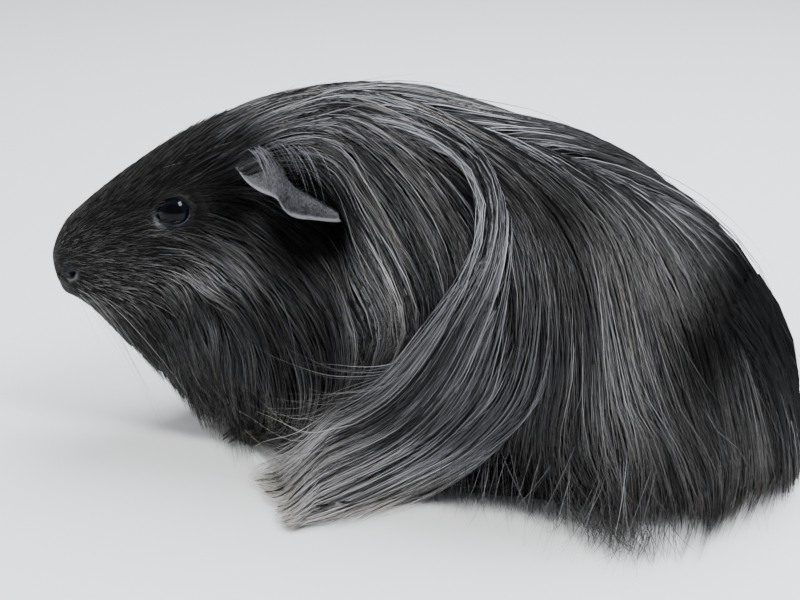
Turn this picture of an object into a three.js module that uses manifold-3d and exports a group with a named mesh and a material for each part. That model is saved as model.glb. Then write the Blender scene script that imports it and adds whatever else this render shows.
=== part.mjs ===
// A long-haired guinea pig, life size, sitting with its head turned to its left.
// Millimetres, +Z up. The animal is worked out lying straight along X, nose first, and its head and
// neck are turned at the end. The outline is that of the coat, out to the tips of the hair.
import * as THREE from "three";
import { mergeVertices } from "three/addons/utils/BufferGeometryUtils.js";
import Module from "manifold-3d";

const wasm = await Module();
wasm.setup();

// ---- driving dimensions -------------------------------------------------------------------------
const LENGTH = 224; // nose to the end of the hair behind the rump
const NOSE_HEIGHT = 55; // of the tip of the nose above the floor
const RUMP_HEIGHT = 6; // of the hindmost hair
const NOSE_ROUND = 5.5; // length over which the nose rounds off
const RUMP_ROUND = 20;
const HEM = 1.2; // clearance of the coat's hem above the soles
const RINGS = 42;
const SEGMENTS = 32;
const GAP = 0.3; // between neighbouring pieces

const HEAD_TURN = THREE.MathUtils.degToRad(27); // towards the animal's left
const TURN_START = 105; // x where the neck begins to turn, and where it has turned
const TURN_END = 55;

const EYE = { x: 37, y: 15, z: 72.5, radius: 6.2 };
const EAR_THICKNESS = 1.7;

const LEFT = -1; // the animal's left is -Y
const RIGHT = 1;
const SIDES = [
  ["left", LEFT],
  ["right", RIGHT],
];

// ---- profiles along the body --------------------------------------------------------------------
// A smooth curve through a few knots [x, value], flat beyond its ends.
function profile(knots) {
  const slope = knots.map((_, i) => {
    const [a, b] = [knots[Math.max(i - 1, 0)], knots[Math.min(i + 1, knots.length - 1)]];
    return (b[1] - a[1]) / (b[0] - a[0]);
  });
  return (x) => {
    const last = knots.length - 1;
    if (x <= knots[0][0]) return knots[0][1];
    if (x >= knots[last][0]) return knots[last][1];
    const i = knots.findIndex((k) => k[0] > x) - 1;
    const span = knots[i + 1][0] - knots[i][0];
    const t = (x - knots[i][0]) / span;
    return (
      knots[i][1] * (1 + 2 * t) * (1 - t) ** 2 +
      knots[i + 1][1] * t * t * (3 - 2 * t) +
      span * (slope[i] * t * (1 - t) ** 2 - slope[i + 1] * t * t * (1 - t))
    );
  };
}

// The line of the nose, forehead and back, in side view.
const topLine = profile([
  [0, 61], [8, 69], [22, 79.5], [40, 90.5], [58, 99.5], [80, 106], [102, 107.5],
  [130, 101.5], [156, 94.5], [178, 85], [197, 72.5], [211, 56], [224, 34],
]);
// The line of the chin, the beard and the hem.
const bottomLine = profile([
  [0, 45], [6, 43], [11, 39], [18, 30.5], [28, 18.5], [38, 6.5], [44, HEM], [60, HEM],
]);
// Half the width, and the height at which the body is widest.
const widthLine = profile([
  [0, 8], [5, 10.5], [10, 12.2], [20, 15.2], [30, 18.6], [40, 23], [52, 28], [68, 33], [88, 39],
  [110, 46], [138, 52], [162, 54], [184, 51], [200, 45], [214, 37], [224, 29],
]);
const beltLine = profile([
  [0, 53], [10, 50], [20, 51], [38, 54], [60, 52], [88, 48], [115, 45], [156, 40], [197, 30], [224, 12],
]);
// Powers of the upper and lower half of the section: 2 is an ellipse, and more is squarer. The upper one
// gives the broad crown between the ears, the lower one the wall of hair that hangs to the hem.
const crownLine = profile([[0, 2.3], [30, 2.1], [58, 2.6], [80, 2.6], [120, 2.15]]);
const wallLine = profile([[0, 2.3], [20, 2.1], [36, 2.3], [50, 4], [98, 4.5], [197, 4.5], [224, 3]]);
// How far the hem spreads past the width. On the left a long lock is swept forward on to the floor.
const spread = {
  [LEFT]: profile([[50, 0], [60, 3], [69, 30], [82, 45], [102, 42], [122, 19], [145, 21], [172, 34], [194, 28], [222, 8]]),
  [RIGHT]: profile([[50, 0], [80, 5], [105, 9], [138, 15], [168, 26], [192, 22], [222, 8]]),
};

function roundedEnd(distance, length) {
  return Math.sqrt(1 - (1 - Math.min(distance / length, 1)) ** 2);
}

function powered(value, power) {
  return Math.abs(value) < 1e-9 ? 0 : Math.sign(value) * Math.abs(value) ** power;
}

// ---- relief of the long locks -------------------------------------------------------------------
const LOCK_SPACING = 15;
const LOCK_RELIEF = 1.1;
const LOCK_TOP = 105;
const SWEEP_REACH = 42; // how far back a forelock is carried before it swings forward again
const SWEEP_MIDDLE = 62; // the height where it is furthest back
const FALL_SLOPE = 0.45; // drift of the hair behind the shoulder, per mm that it falls

// Where on the spine the hair that passes this point is rooted.
function rootOf(x, z, side) {
  const drop = (z - SWEEP_MIDDLE) / (LOCK_TOP - SWEEP_MIDDLE);
  const swept = SWEEP_REACH * (1 - drop * drop);
  const fallen = FALL_SLOPE * (LOCK_TOP - z);
  const forward = side === LEFT ? 1 - THREE.MathUtils.smoothstep(x, 118, 160) : 0;
  return x - (swept * forward + fallen * (1 - forward));
}

function lockRelief(x, z, side) {
  const long = THREE.MathUtils.smoothstep(x, 78, 110) * (1 - THREE.MathUtils.smoothstep(z, 84, 104));
  const root = rootOf(x, z, side);
  const wave = Math.cos((2 * Math.PI * root) / LOCK_SPACING) + 0.4 * Math.cos((5.1 * root) / LOCK_SPACING);
  return LOCK_RELIEF * long * wave;
}

// The coat's surface at x, at an angle round the body: 0 is the right side and a quarter turn the top.
function coatPoint(x, angle) {
  const pole = x < LENGTH / 2 ? NOSE_HEIGHT : RUMP_HEIGHT;
  const end = roundedEnd(x, NOSE_ROUND) * roundedEnd(LENGTH - x, RUMP_ROUND);
  const belt = pole + (beltLine(x) - pole) * end;
  const top = pole + (topLine(x) - pole) * end;
  const bottom = Math.max(HEM, pole + (bottomLine(x) - pole) * end);
  const [across, up] = [Math.cos(angle), Math.sin(angle)];
  const side = across < 0 ? LEFT : RIGHT;
  const power = 2 / (up < 0 ? wallLine(x) : crownLine(x));
  const rise = powered(up, power);
  const z = belt + rise * (rise < 0 ? belt - bottom : top - belt);
  const hem = rise < 0 ? spread[side](x) * rise * rise : 0;
  const half = widthLine(x) * end + hem * end + lockRelief(x, z, side);
  return new THREE.Vector3(x, powered(across, power) * half, z);
}

// ---- turning the head ---------------------------------------------------------------------------
const TURN_RADIUS = (TURN_START - TURN_END) / HEAD_TURN;

function turnAt(x) {
  return THREE.MathUtils.clamp((TURN_START - x) / TURN_RADIUS, 0, HEAD_TURN);
}

function turnHead(p) {
  if (p.x >= TURN_START) return p;
  const angle = turnAt(p.x);
  const beyond = Math.max(TURN_END - p.x, 0);
  const reach = TURN_RADIUS + p.y;
  return p.set(
    TURN_START - reach * Math.sin(angle) - beyond * Math.cos(angle),
    reach * Math.cos(angle) - TURN_RADIUS - beyond * Math.sin(angle),
    p.z,
  );
}

// ---- between three.js geometry and solids -------------------------------------------------------
function moved(geometry, place) {
  const at = geometry.getAttribute("position");
  const p = new THREE.Vector3();
  for (let i = 0; i < at.count; i++) {
    place(p.fromBufferAttribute(at, i));
    at.setXYZ(i, p.x, p.y, p.z);
  }
  return geometry;
}

function solidAsDrawn(geometry, side = RIGHT) {
  const bare = geometry.clone();
  bare.deleteAttribute("normal");
  bare.deleteAttribute("uv");
  const merged = mergeVertices(bare, 1e-4);
  if (side === LEFT) merged.index.array.reverse();
  return new wasm.Manifold(
    new wasm.Mesh({
      numProp: 3,
      vertProperties: new Float32Array(merged.attributes.position.array),
      triVerts: new Uint32Array(merged.index.array),
    }),
  );
}

// A solid of what is drawn on the straight animal. What is drawn on the right is mirrored for the left.
function solid(geometry, side = RIGHT) {
  return solidAsDrawn(moved(geometry.clone().scale(1, side, 1), turnHead), side);
}

function geometryOf(made) {
  const mesh = made.getMesh();
  return new THREE.BufferGeometry()
    .setAttribute("position", new THREE.BufferAttribute(new Float32Array(mesh.vertProperties), 3))
    .setIndex(new THREE.BufferAttribute(new Uint32Array(mesh.triVerts), 1));
}

function united(solids) {
  return solids.reduce((sum, next) => sum.add(next));
}

function ellipsoid(centre, radii, facets) {
  return solid(
    new THREE.SphereGeometry(1, facets, Math.round(facets * 0.6))
      .scale(...radii)
      .translate(...centre),
  );
}

// ---- the body, with its coat --------------------------------------------------------------------
function bodySolid() {
  const sphere = new THREE.SphereGeometry(1, SEGMENTS, RINGS).rotateZ(Math.PI / 2);
  return solid(
    moved(sphere, (p) => {
      const x = (LENGTH * (1 + THREE.MathUtils.clamp(p.x, -1, 1))) / 2;
      p.copy(coatPoint(x, Math.atan2(p.z, p.y)));
    }),
  );
}

// ---- ears: thin drooping flaps, rooted along their upper edge -----------------------------------
const earRoot = new THREE.CubicBezierCurve3(
  new THREE.Vector3(55, 18, 86),
  new THREE.Vector3(62, 22, 90),
  new THREE.Vector3(74, 25, 90),
  new THREE.Vector3(88, 31, 84),
);
const earEdge = new THREE.CubicBezierCurve3(
  new THREE.Vector3(55, 21, 86),
  new THREE.Vector3(60, 26.5, 81.5),
  new THREE.Vector3(87, 47, 69.5),
  new THREE.Vector3(101, 42, 77),
);
const EAR_BULGE = 2.2;
const earOut = new THREE.Vector3(-0.25, 0.55, 0.8).normalize();
// The turned head stretches the right of the neck, so the right ear is shorter before the turn.
const EAR_FRONT = 55;
const EAR_REACH = 46;
const RIGHT_EAR_LENGTH = 0.5; // share of the left ear's
const RIGHT_EAR_TUCK = 0.15; // by how much its tip lies closer in

function earSolid(side, grow = 0) {
  const flap = new THREE.SphereGeometry(1, 20, 7).rotateX(Math.PI / 2);
  const margin = grow / earRoot.getLength();
  return solid(
    moved(flap, (p) => {
      const along = 0.5 + (0.5 + margin) * powered(p.x, 0.75);
      const across = 0.5 + (0.5 + margin) * powered(p.y, 0.75);
      const lift = EAR_BULGE * Math.sin(Math.PI * across) + powered(p.z, 0.6) * (EAR_THICKNESS / 2 + grow);
      p.lerpVectors(earRoot.getPoint(along), earEdge.getPoint(along), across);
      p.addScaledVector(earOut, lift);
      if (side === RIGHT) {
        const back = Math.max(p.x - EAR_FRONT, 0);
        p.y *= 1 - (RIGHT_EAR_TUCK * back) / EAR_REACH;
        p.x -= (1 - RIGHT_EAR_LENGTH) * back;
      }
    }),
    side,
  );
}

// ---- feet and legs ------------------------------------------------------------------------------
const FOREFOOT = { x: 69, y: 17, length: 20, width: 10.5, height: 8, toes: 4, leg: 8, legLean: 6 };
const HINDFOOT = { x: 165, y: 35, length: 44, width: 13, height: 9, toes: 3, leg: 12, legLean: -6 };
const LEG_TOP = 30;
const TOE_RADIUS = 2.2;
const TOE_REACH = 5.5; // of the toes past the pad
const CLAW_LENGTH = 4.5;
const CLAW_RADIUS = 0.9;

function between(from, to, radius, sides) {
  const turn = new THREE.Quaternion().setFromUnitVectors(
    new THREE.Vector3(0, 1, 0),
    to.clone().sub(from).normalize(),
  );
  return new THREE.CapsuleGeometry(radius, from.distanceTo(to), 2, sides)
    .applyQuaternion(turn)
    .translate(...from.clone().lerp(to, 0.5));
}

function pad(foot, side, grow, facets) {
  return ellipsoid(
    [foot.x - grow * 0.6, foot.y * side, foot.height * 0.38],
    [foot.length / 2 + grow, foot.width / 2 + grow * 0.5, foot.height * 0.62 + grow * 0.3],
    facets,
  );
}

function shank(foot, side, grow) {
  const knee = new THREE.Vector3(foot.x + foot.legLean, foot.y, LEG_TOP);
  const ankle = new THREE.Vector3(foot.x + foot.length * 0.18, foot.y, foot.height * 0.7);
  return solid(between(ankle, knee, foot.leg / 2 + grow, 8), side);
}

function toes(foot, side) {
  const front = foot.x - foot.length / 2;
  return Array.from({ length: foot.toes }, (_, i) => {
    const across = (2 * i) / (foot.toes - 1) - 1;
    const y = foot.y + across * (foot.width / 2 - TOE_RADIUS * 0.6);
    const tip = new THREE.Vector3(front - TOE_REACH * (1 - 0.35 * across * across), y, TOE_RADIUS * 0.8);
    const root = new THREE.Vector3(front + 6, foot.y + (y - foot.y) * 0.8, 3);
    const claw = new THREE.ConeGeometry(CLAW_RADIUS, CLAW_LENGTH, 6)
      .rotateZ(Math.PI / 2 + 0.12)
      .translate(tip.x - TOE_RADIUS - CLAW_LENGTH * 0.3, y, TOE_RADIUS * 0.75);
    return solid(between(root, tip, TOE_RADIUS, 6), side).add(solid(claw, side));
  });
}

// A leg, from the flat of its sole to where it goes into the body.
function legSolid(foot, side) {
  const aboveFloor = new THREE.BoxGeometry(1000, 1000, 500).translate(0, 0, 250);
  return united([pad(foot, side, 0, 12), shank(foot, side, 0), ...toes(foot, side)])
    .intersect(solidAsDrawn(aboveFloor));
}

// The hollow in the coat that a leg stands in.
function legHollow(foot, side) {
  return pad(foot, side, TOE_REACH + CLAW_LENGTH, 12).add(shank(foot, side, 2 * GAP));
}

// ---- eyes, nostrils and mouth -------------------------------------------------------------------
function eyeSolid(side, grow = 0) {
  const radius = EYE.radius + grow;
  return ellipsoid([EYE.x, side * EYE.y, EYE.z], [radius, radius, radius], 14);
}

function nostrilSolid(side) {
  return solid(
    new THREE.SphereGeometry(1, 10, 6)
      .scale(3, 1.1, 1.7)
      .rotateY(0.7)
      .rotateZ(-side * 0.5)
      .translate(4.6, side * 7.6, 50.5),
  );
}

function mouthSolid() {
  return solid(
    new THREE.SphereGeometry(1, 14, 8).scale(6, 6.5, 0.9).rotateY(-0.85).translate(8.5, 0, 40.5),
  );
}

// ---- parting ------------------------------------------------------------------------------------
// Thin slabs across the body, each leaning from its x at the floor to its x at the top of the back.
const CUTS = [
  [44, 74], // head from neck
  [84, 104], // neck from trunk
  [156, 160], // trunk from hindquarters
];
const FLESH = ["head", "neck", "trunk", "hindquarters"];

function slab([low, high]) {
  const tall = 106;
  const centre = new THREE.Vector3((low + high) / 2, 0, tall / 2);
  return solidAsDrawn(
    new THREE.BoxGeometry(GAP, 400, 400)
      .rotateY(Math.atan2(high - low, tall))
      .rotateZ(turnAt(centre.x))
      .translate(...turnHead(centre)),
  );
}

function parted() {
  const fillers = SIDES.flatMap(([, side]) => [
    legHollow(FOREFOOT, side),
    legHollow(HINDFOOT, side),
    earSolid(side, GAP),
    eyeSolid(side, GAP),
    nostrilSolid(side),
  ]);
  const whole = bodySolid()
    .subtract(united([...fillers, mouthSolid()]))
    .subtract(united(CUTS.map(slab)));
  const middle = (piece) => piece.boundingBox().min[0] + piece.boundingBox().max[0];
  return whole
    .decompose()
    .filter((piece) => piece.volume() > 1000)
    .sort((a, b) => middle(a) - middle(b));
}

// ---- the model ----------------------------------------------------------------------------------
const coatMaterial = new THREE.MeshStandardMaterial({ color: 0x17171a, roughness: 0.55 });
const shortCoatMaterial = new THREE.MeshStandardMaterial({ color: 0x111113, roughness: 0.6 });
const eyeMaterial = new THREE.MeshStandardMaterial({ color: 0x08080c, roughness: 0.08 });
const earMaterial = new THREE.MeshStandardMaterial({ color: 0x3a3a3d, roughness: 0.6 });
const footMaterial = new THREE.MeshStandardMaterial({ color: 0x2a2627, roughness: 0.7 });

const animal = new THREE.Group();

function addNode(name, made, material) {
  const mesh = new THREE.Mesh(geometryOf(made), material);
  mesh.name = name;
  animal.add(mesh);
}

parted().forEach((piece, i) =>
  addNode(FLESH[i], piece, FLESH[i] === "head" ? shortCoatMaterial : coatMaterial),
);
for (const [name, side] of SIDES) {
  addNode("eye_" + name, eyeSolid(side), eyeMaterial);
  addNode("ear_" + name, earSolid(side), earMaterial);
  addNode("foreleg_" + name, legSolid(FOREFOOT, side), footMaterial);
  addNode("hindleg_" + name, legSolid(HINDFOOT, side), footMaterial);
}

// The origin is on the floor, under the middle of the animal.
const bounds = new THREE.Box3().setFromObject(animal);
const middle = bounds.getCenter(new THREE.Vector3());
animal.position.set(-middle.x, -middle.y, -bounds.min.z);

export default animal;
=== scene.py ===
# A long-haired guinea pig, life size, sitting on the floor with its head turned to its left.
import math

import bpy
import numpy as np
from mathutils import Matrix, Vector


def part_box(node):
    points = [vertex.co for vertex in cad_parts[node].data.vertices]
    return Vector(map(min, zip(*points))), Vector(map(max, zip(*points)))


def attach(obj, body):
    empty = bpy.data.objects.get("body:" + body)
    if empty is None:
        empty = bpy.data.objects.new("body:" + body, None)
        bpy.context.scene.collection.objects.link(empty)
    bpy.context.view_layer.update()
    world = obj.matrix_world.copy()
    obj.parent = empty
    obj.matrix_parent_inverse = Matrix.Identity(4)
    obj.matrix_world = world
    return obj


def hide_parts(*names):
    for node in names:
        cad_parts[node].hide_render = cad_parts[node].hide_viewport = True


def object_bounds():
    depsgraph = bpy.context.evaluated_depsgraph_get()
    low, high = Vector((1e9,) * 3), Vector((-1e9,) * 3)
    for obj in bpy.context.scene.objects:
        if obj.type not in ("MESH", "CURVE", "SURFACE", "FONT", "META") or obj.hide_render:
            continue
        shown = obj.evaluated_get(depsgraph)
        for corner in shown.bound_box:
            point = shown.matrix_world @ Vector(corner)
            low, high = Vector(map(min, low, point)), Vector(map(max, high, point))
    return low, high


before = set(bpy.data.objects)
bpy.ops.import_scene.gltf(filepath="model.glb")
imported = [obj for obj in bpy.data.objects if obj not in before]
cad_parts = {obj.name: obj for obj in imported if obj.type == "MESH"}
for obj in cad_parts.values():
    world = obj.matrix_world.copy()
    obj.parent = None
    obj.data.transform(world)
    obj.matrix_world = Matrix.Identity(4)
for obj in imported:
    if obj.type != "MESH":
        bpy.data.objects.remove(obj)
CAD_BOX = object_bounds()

# ---- The hide ------------------------------------------------------------------------------------
# One skin without a seam covers the head, neck, body, ears and legs, bare at the nose, lips, lids, ears
# and soles and under the coat everywhere else. It is drawn in millimetres on a straight animal, with its
# nose at x = 0, and then the neck is turned.
MM = 0.001
LENGTH = 224.0
NOSE_HEIGHT = 55.0
RUMP_HEIGHT = 6.0
NOSE_ROUND = 5.5
RUMP_ROUND = 20.0
HEM = 1.2
BELT_DROP = 0.45  # share of the way from the spine to the floor at which the body is widest
FLOOR_RUN = 100.0  # mm of floor to one unit of drop beyond the hem
WIDEST = 78.0  # half width beyond which no hair lies
HEAD_TURN = math.radians(27)
TURN_START = 105.0
TURN_END = 55.0
TURN_RADIUS = (TURN_START - TURN_END) / HEAD_TURN
LEFT, RIGHT = -1, 1
SIDES = ((LEFT, "left"), (RIGHT, "right"))


def smooth_line(*knots):
    """A smooth curve through a few knots (x, value), flat beyond its ends."""
    at, value = np.array(knots, float).T
    before = np.r_[0, np.arange(len(at) - 1)]
    after = np.r_[np.arange(1, len(at)), len(at) - 1]
    slope = (value[after] - value[before]) / (at[after] - at[before])

    def line(x):
        x = np.clip(x, at[0], at[-1])
        i = np.clip(np.searchsorted(at, x, side="right") - 1, 0, len(at) - 2)
        span = at[i + 1] - at[i]
        t = (x - at[i]) / span
        ends = value[i] * (1 + 2 * t) * (1 - t) ** 2 + value[i + 1] * t * t * (3 - 2 * t)
        return ends + span * (slope[i] * t * (1 - t) ** 2 - slope[i + 1] * t * t * (1 - t))

    return line


def smooth_step(x, low, high):
    t = np.clip((x - low) / (high - low), 0, 1)
    return t * t * (3 - 2 * t)


def rounded_end(distance, length):
    return np.sqrt(1 - (1 - np.clip(distance / length, 0, 1)) ** 2)


# The outline of the coat: spine, chin and hem, half width, widest height, and the powers of the
# sections above and below it.
coat_top = smooth_line(
    (0, 61), (8, 69), (22, 80), (40, 91.5), (58, 100), (80, 105), (102, 105.5),
    (130, 100), (156, 94.5), (178, 85), (197, 72.5), (211, 56), (224, 34),
)
coat_bottom = smooth_line(
    (0, 45), (6, 43), (11, 39), (18, 30.5), (28, 18.5), (38, 6.5), (44, HEM), (60, HEM)
)
coat_half = smooth_line(
    (0, 8), (5, 10.5), (10, 12.2), (20, 15.2), (30, 18.6), (40, 23), (52, 28), (68, 33), (88, 39),
    (110, 46), (138, 52), (162, 54), (184, 51), (200, 45), (214, 37), (224, 29),
)
coat_belt = smooth_line(
    (0, 53), (10, 50), (20, 51), (38, 54), (60, 52), (88, 48), (115, 45), (156, 40), (197, 30), (224, 12)
)
crown_power = smooth_line((0, 2.3), (30, 2.1), (58, 2.6), (80, 2.6), (120, 2.15))
wall_power = smooth_line((0, 2.3), (20, 2.1), (36, 2.3), (50, 4), (98, 4.5), (197, 4.5), (224, 3))
hem_flare = {
    LEFT: smooth_line(
        (50, 0), (60, 4), (69, 18), (82, 30), (98, 30), (112, 16), (126, 1), (140, -6), (155, -5), (168, 0),
        (182, 12), (194, 17), (210, 12), (222, 6)
    ),
    RIGHT: smooth_line((50, 0), (80, 5), (105, 7), (138, 8), (168, 14), (192, 14), (222, 6)),
}
# How deep the skin lies in the coat, along the spine, on the sides and under the chin and belly.
depth_top = smooth_line((0, 0.3), (20, 0.7), (38, 1.5), (55, 4), (80, 7.5), (120, 8), (224, 8))
depth_side = smooth_line(
    (0, 0.3), (20, 0.9), (36, 1.4), (50, 3.2), (70, 7), (100, 10), (140, 12), (224, 12)
)
depth_under = smooth_line((0, 0.3), (12, 0.9), (20, 3), (28, 7), (38, 12), (48, 15), (62, 11), (80, 8))
RUMP_DEPTH = 12.0


def body_section(x, drop, side, depth, hanging):
    """Points at x, a share of the way down from spine to floor. depth 0 is the coat, and 1 the skin."""
    end = rounded_end(x, NOSE_ROUND) * rounded_end(LENGTH - x, RUMP_ROUND)
    pole = np.where(x < LENGTH / 2, NOSE_HEIGHT, RUMP_HEIGHT + 14 * depth)
    belt = pole + (coat_belt(x) - pole) * end
    top = pole + (coat_top(x) - depth * depth_top(x) - pole) * end
    bottom = np.maximum(HEM, pole + (coat_bottom(x) + depth * depth_under(x) - pole) * end)
    half = (coat_half(x) - depth * depth_side(x)) * end
    fall = np.clip((drop - BELT_DROP) / (1 - BELT_DROP), 0, 1)
    up = np.clip(1 - drop / BELT_DROP, 0, 1) * math.pi / 2
    down = fall * math.pi / 2
    crown, wall = 2 / crown_power(x), 2 / (wall_power(x) + (2.3 - wall_power(x)) * depth)
    upper = drop < BELT_DROP
    z = np.where(
        upper,
        belt + np.sin(up) ** crown * (top - belt),
        belt - np.sin(down) ** wall * (belt - bottom),
    )
    y = half * np.where(upper, np.cos(up) ** crown, np.maximum(np.cos(down), 0) ** wall)
    if hanging:
        flare = np.where(side == LEFT, hem_flare[LEFT](x), hem_flare[RIGHT](x)) * end
        beyond = np.maximum(drop - 1, 0) * FLOOR_RUN
        room = np.maximum(WIDEST - half - flare, 2)
        hang = smooth_step(x, 36, 56) * ~upper
        straight_z = belt - fall * (belt - 0.6)
        straight_y = half + flare * fall**2 + room * (1 - np.exp(-beyond / room))
        z = z + hang * (straight_z - z)
        y = y + hang * (straight_y - y)
    along = x - depth * RUMP_DEPTH * smooth_step(x, 130, LENGTH)
    return np.stack([along, side * y, z], -1)


def coat_point(x, drop, side):
    """The outside of the coat, which hangs to the floor. A drop over 1 runs out over the floor."""
    return body_section(x, drop, side, 0.0, True)


def skin_point(x, drop, side):
    """The closed skin of the body under the coat."""
    return body_section(x, drop, side, 1.0, False)


def turned(points):
    """Turns the head to the animal's left about an upright line beside the neck."""
    x, y, z = points[..., 0], points[..., 1], points[..., 2]
    angle = np.clip((TURN_START - x) / TURN_RADIUS, 0, HEAD_TURN)
    beyond = np.maximum(TURN_END - x, 0)
    reach = TURN_RADIUS + y
    bent_x = TURN_START - reach * np.sin(angle) - beyond * np.cos(angle)
    bent_y = reach * np.cos(angle) - TURN_RADIUS - beyond * np.sin(angle)
    neck = x < TURN_START
    return np.stack([np.where(neck, bent_x, x), np.where(neck, bent_y, y), z], -1)


# The straight animal's rump is the frame's far end, and its spine is midway between the hind legs.
hind_boxes = [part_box("hindleg_left"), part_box("hindleg_right")]
ORIGIN = np.array([CAD_BOX[1][0] / MM - LENGTH, (hind_boxes[0][0].y + hind_boxes[1][1].y) / 2 / MM, 0.0])


def placed(points):
    """Millimetres on the straight animal to metres in the frame."""
    return (turned(points) + ORIGIN) * MM


def unit(vectors):
    return vectors / (np.linalg.norm(vectors, axis=-1, keepdims=True) + 1e-12)


def grid_faces(rows, columns, closed):
    """Quads of a grid of points, its last column joined to its first where it is closed."""
    i, j = np.meshgrid(np.arange(rows - 1), np.arange(columns if closed else columns - 1), indexing="ij")
    k = (j + 1) % columns
    quads = np.stack([i * columns + j, i * columns + k, (i + 1) * columns + k, (i + 1) * columns + j], -1)
    return quads.reshape(-1, 4).tolist()


def end_caps(rows, columns):
    """The two faces that close a tube of rings at its first and last ring."""
    last = (rows - 1) * columns
    return [list(range(columns))[::-1], [last + i for i in range(columns)]]


def flipped(faces):
    return [face[::-1] for face in faces]


def new_mesh(name, points, faces, smooth=True):
    mesh = bpy.data.meshes.new(name)
    mesh.from_pydata(points.reshape(-1, 3).tolist(), [], faces)
    mesh.polygons.foreach_set("use_smooth", [smooth] * len(mesh.polygons))
    mesh.update()
    return mesh


def add_attributes(mesh, columns):
    """Values at each point of a mesh, by name: single numbers, or vectors where the last axis is 3."""
    for key, values in columns.items():
        one = np.size(values) == len(mesh.vertices)
        kind, field = ("FLOAT", "value") if one else ("FLOAT_VECTOR", "vector")
        layer = mesh.attributes.new(key, kind, "POINT")
        layer.data.foreach_set(field, np.ascontiguousarray(values, np.float32).ravel())


def new_piece(name, mesh, *materials):
    piece = bpy.data.objects.new(name, mesh)
    bpy.context.scene.collection.objects.link(piece)
    piece.data.materials.clear()
    for material in materials:
        piece.data.materials.append(material)
    return piece


# Each eye looks out along its own axis through an almond opening in the lids, longest to the front.
EYE = np.array([37.2, 15.0, 71.8])
EYE_RADIUS = 6.2
EYE_AXIS = unit(np.array([-0.16, 0.94, 0.22]))
EYE_BACK = unit(np.cross(EYE_AXIS, [0.12, 0.0, 1.0]))
EYE_UP = np.cross(EYE_BACK, EYE_AXIS)
OPENING_LENGTH, OPENING_HEIGHT = 4.6, 3.9
FURLESS_LENGTH, FURLESS_HEIGHT = 4.5, 3.6  # fur grows from a little outside this
EYE_CORNER = 216  # degrees round the opening, from its back
LID_PATCH = 222  # the same for the bare patch before the corner
SOCKET_DEPTH = 4.0


def eye_space(points, side, length=OPENING_LENGTH, height=OPENING_HEIGHT):
    """Distance along the eye's axis, away from it as a share of the opening, and the angle round it."""
    from_eye = np.stack([points[..., 0], points[..., 1] * side, points[..., 2]], -1) - EYE
    along = from_eye @ EYE_AXIS
    back, up = from_eye @ EYE_BACK / length, from_eye @ EYE_UP / height
    return along, np.hypot(back, up), np.arctan2(up, back)


def turn_from(angle, degrees):
    """How far an angle is turned from one in degrees, between half a turn back and half a turn on."""
    return (angle - math.radians(degrees) + math.pi) % (2 * math.pi) - math.pi


def opening(angle):
    """The edge of the lids: an ellipse drawn out to a corner low at the front."""
    return 1 + 0.2 * np.exp(-((turn_from(angle, EYE_CORNER) / 0.36) ** 2))


LID_SPREAD = 0.7  # share of the opening over which the raised lids run out into the face


def lid_rise(points, side):
    """How far the lids lift the skin round the eye, so that they close on the globe."""
    along, away, angle = eye_space(points, side)
    rim = opening(angle) * np.hypot(np.cos(angle) * OPENING_LENGTH, np.sin(angle) * OPENING_HEIGHT)
    short = np.maximum(np.sqrt(np.maximum(EYE_RADIUS**2 - rim**2, 1)) + 0.25 - along, 0)
    on = (np.sign(points[..., 1]) == side) & (along > 0)
    return on * short * smooth_step(opening(angle) - away, -LID_SPREAD, -0.03)


NOSTRIL_ROUND, NOSTRIL_HEIGHT = 9.7, 52.0


def nostril_space(points):
    """How far round the nose from the nostril a point is, and how far above it."""
    x, y, z = points[..., 0], points[..., 1], points[..., 2]
    return 0.8 * x + 0.5 * np.abs(y) - NOSTRIL_ROUND, z - NOSTRIL_HEIGHT


def sculpted(points):
    """The face: hollows for the eyes, lids, nostrils, split lip, mouth and whisker pads."""
    x, y, z = points[..., 0], points[..., 1], points[..., 2]
    wide = np.abs(y)
    plain, points = points, points.copy()
    for side in (LEFT, RIGHT):
        along, away, angle = eye_space(plain, side)
        near = (np.sign(y) == side) & (along > 0)
        edge = opening(angle)
        socket = near * smooth_step(-away, -(edge + 0.03), -(edge - 0.17))
        lid = near * np.exp(-(((away - edge - 0.2) / 0.16) ** 2)) * 0.25
        lid += lid_rise(plain, side)
        fold = near * np.exp(-(((away - edge - 0.5) / 0.1) ** 2)) * -0.2
        brow = near * np.exp(-(((away - edge - 0.9) / 0.35) ** 2)) * 0.5
        points += (lid + fold + brow - socket * SOCKET_DEPTH)[..., None] * (EYE_AXIS * [1, side, 1])
    front, near_nose = smooth_step(-x, -16, -4), smooth_step(-x, -16, -10)
    nostril_round, nostril_up = nostril_space(points)
    nostril_u, nostril_v = 0.8 * nostril_round + 0.6 * nostril_up, 0.8 * nostril_up - 0.6 * nostril_round
    nostril = near_nose * np.exp(-((nostril_u / 1.3) ** 2) - (nostril_v / 0.6) ** 2) * 2.2
    wing = near_nose * np.exp(-((nostril_u / 1.8) ** 2) - ((nostril_v + 1.3) / 0.6) ** 2) * 0.45
    split = front * np.exp(-((y / 0.8) ** 2)) * smooth_step(-z, -50, -47) * smooth_step(z, 40, 43) * 1.2
    lip_line = 42.4 - 0.025 * wide**2
    mouth = smooth_step(-x, -20, -12) * np.exp(-(((z - lip_line) / 0.7) ** 2)) * 1.5
    pad = front * np.exp(-(((wide - 6.5) / 3.0) ** 2) - ((z - 45.5) / 2.6) ** 2) * 0.9
    inward = unit(np.stack([np.full_like(x, 0.9), -np.sign(y) * 0.4, np.zeros_like(x)], -1))
    aside = unit(np.stack([np.full_like(x, 0.5), -np.sign(y) * 0.85, np.zeros_like(x)], -1))
    return points + (split + mouth - pad)[..., None] * inward + (nostril - wing)[..., None] * aside


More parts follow.
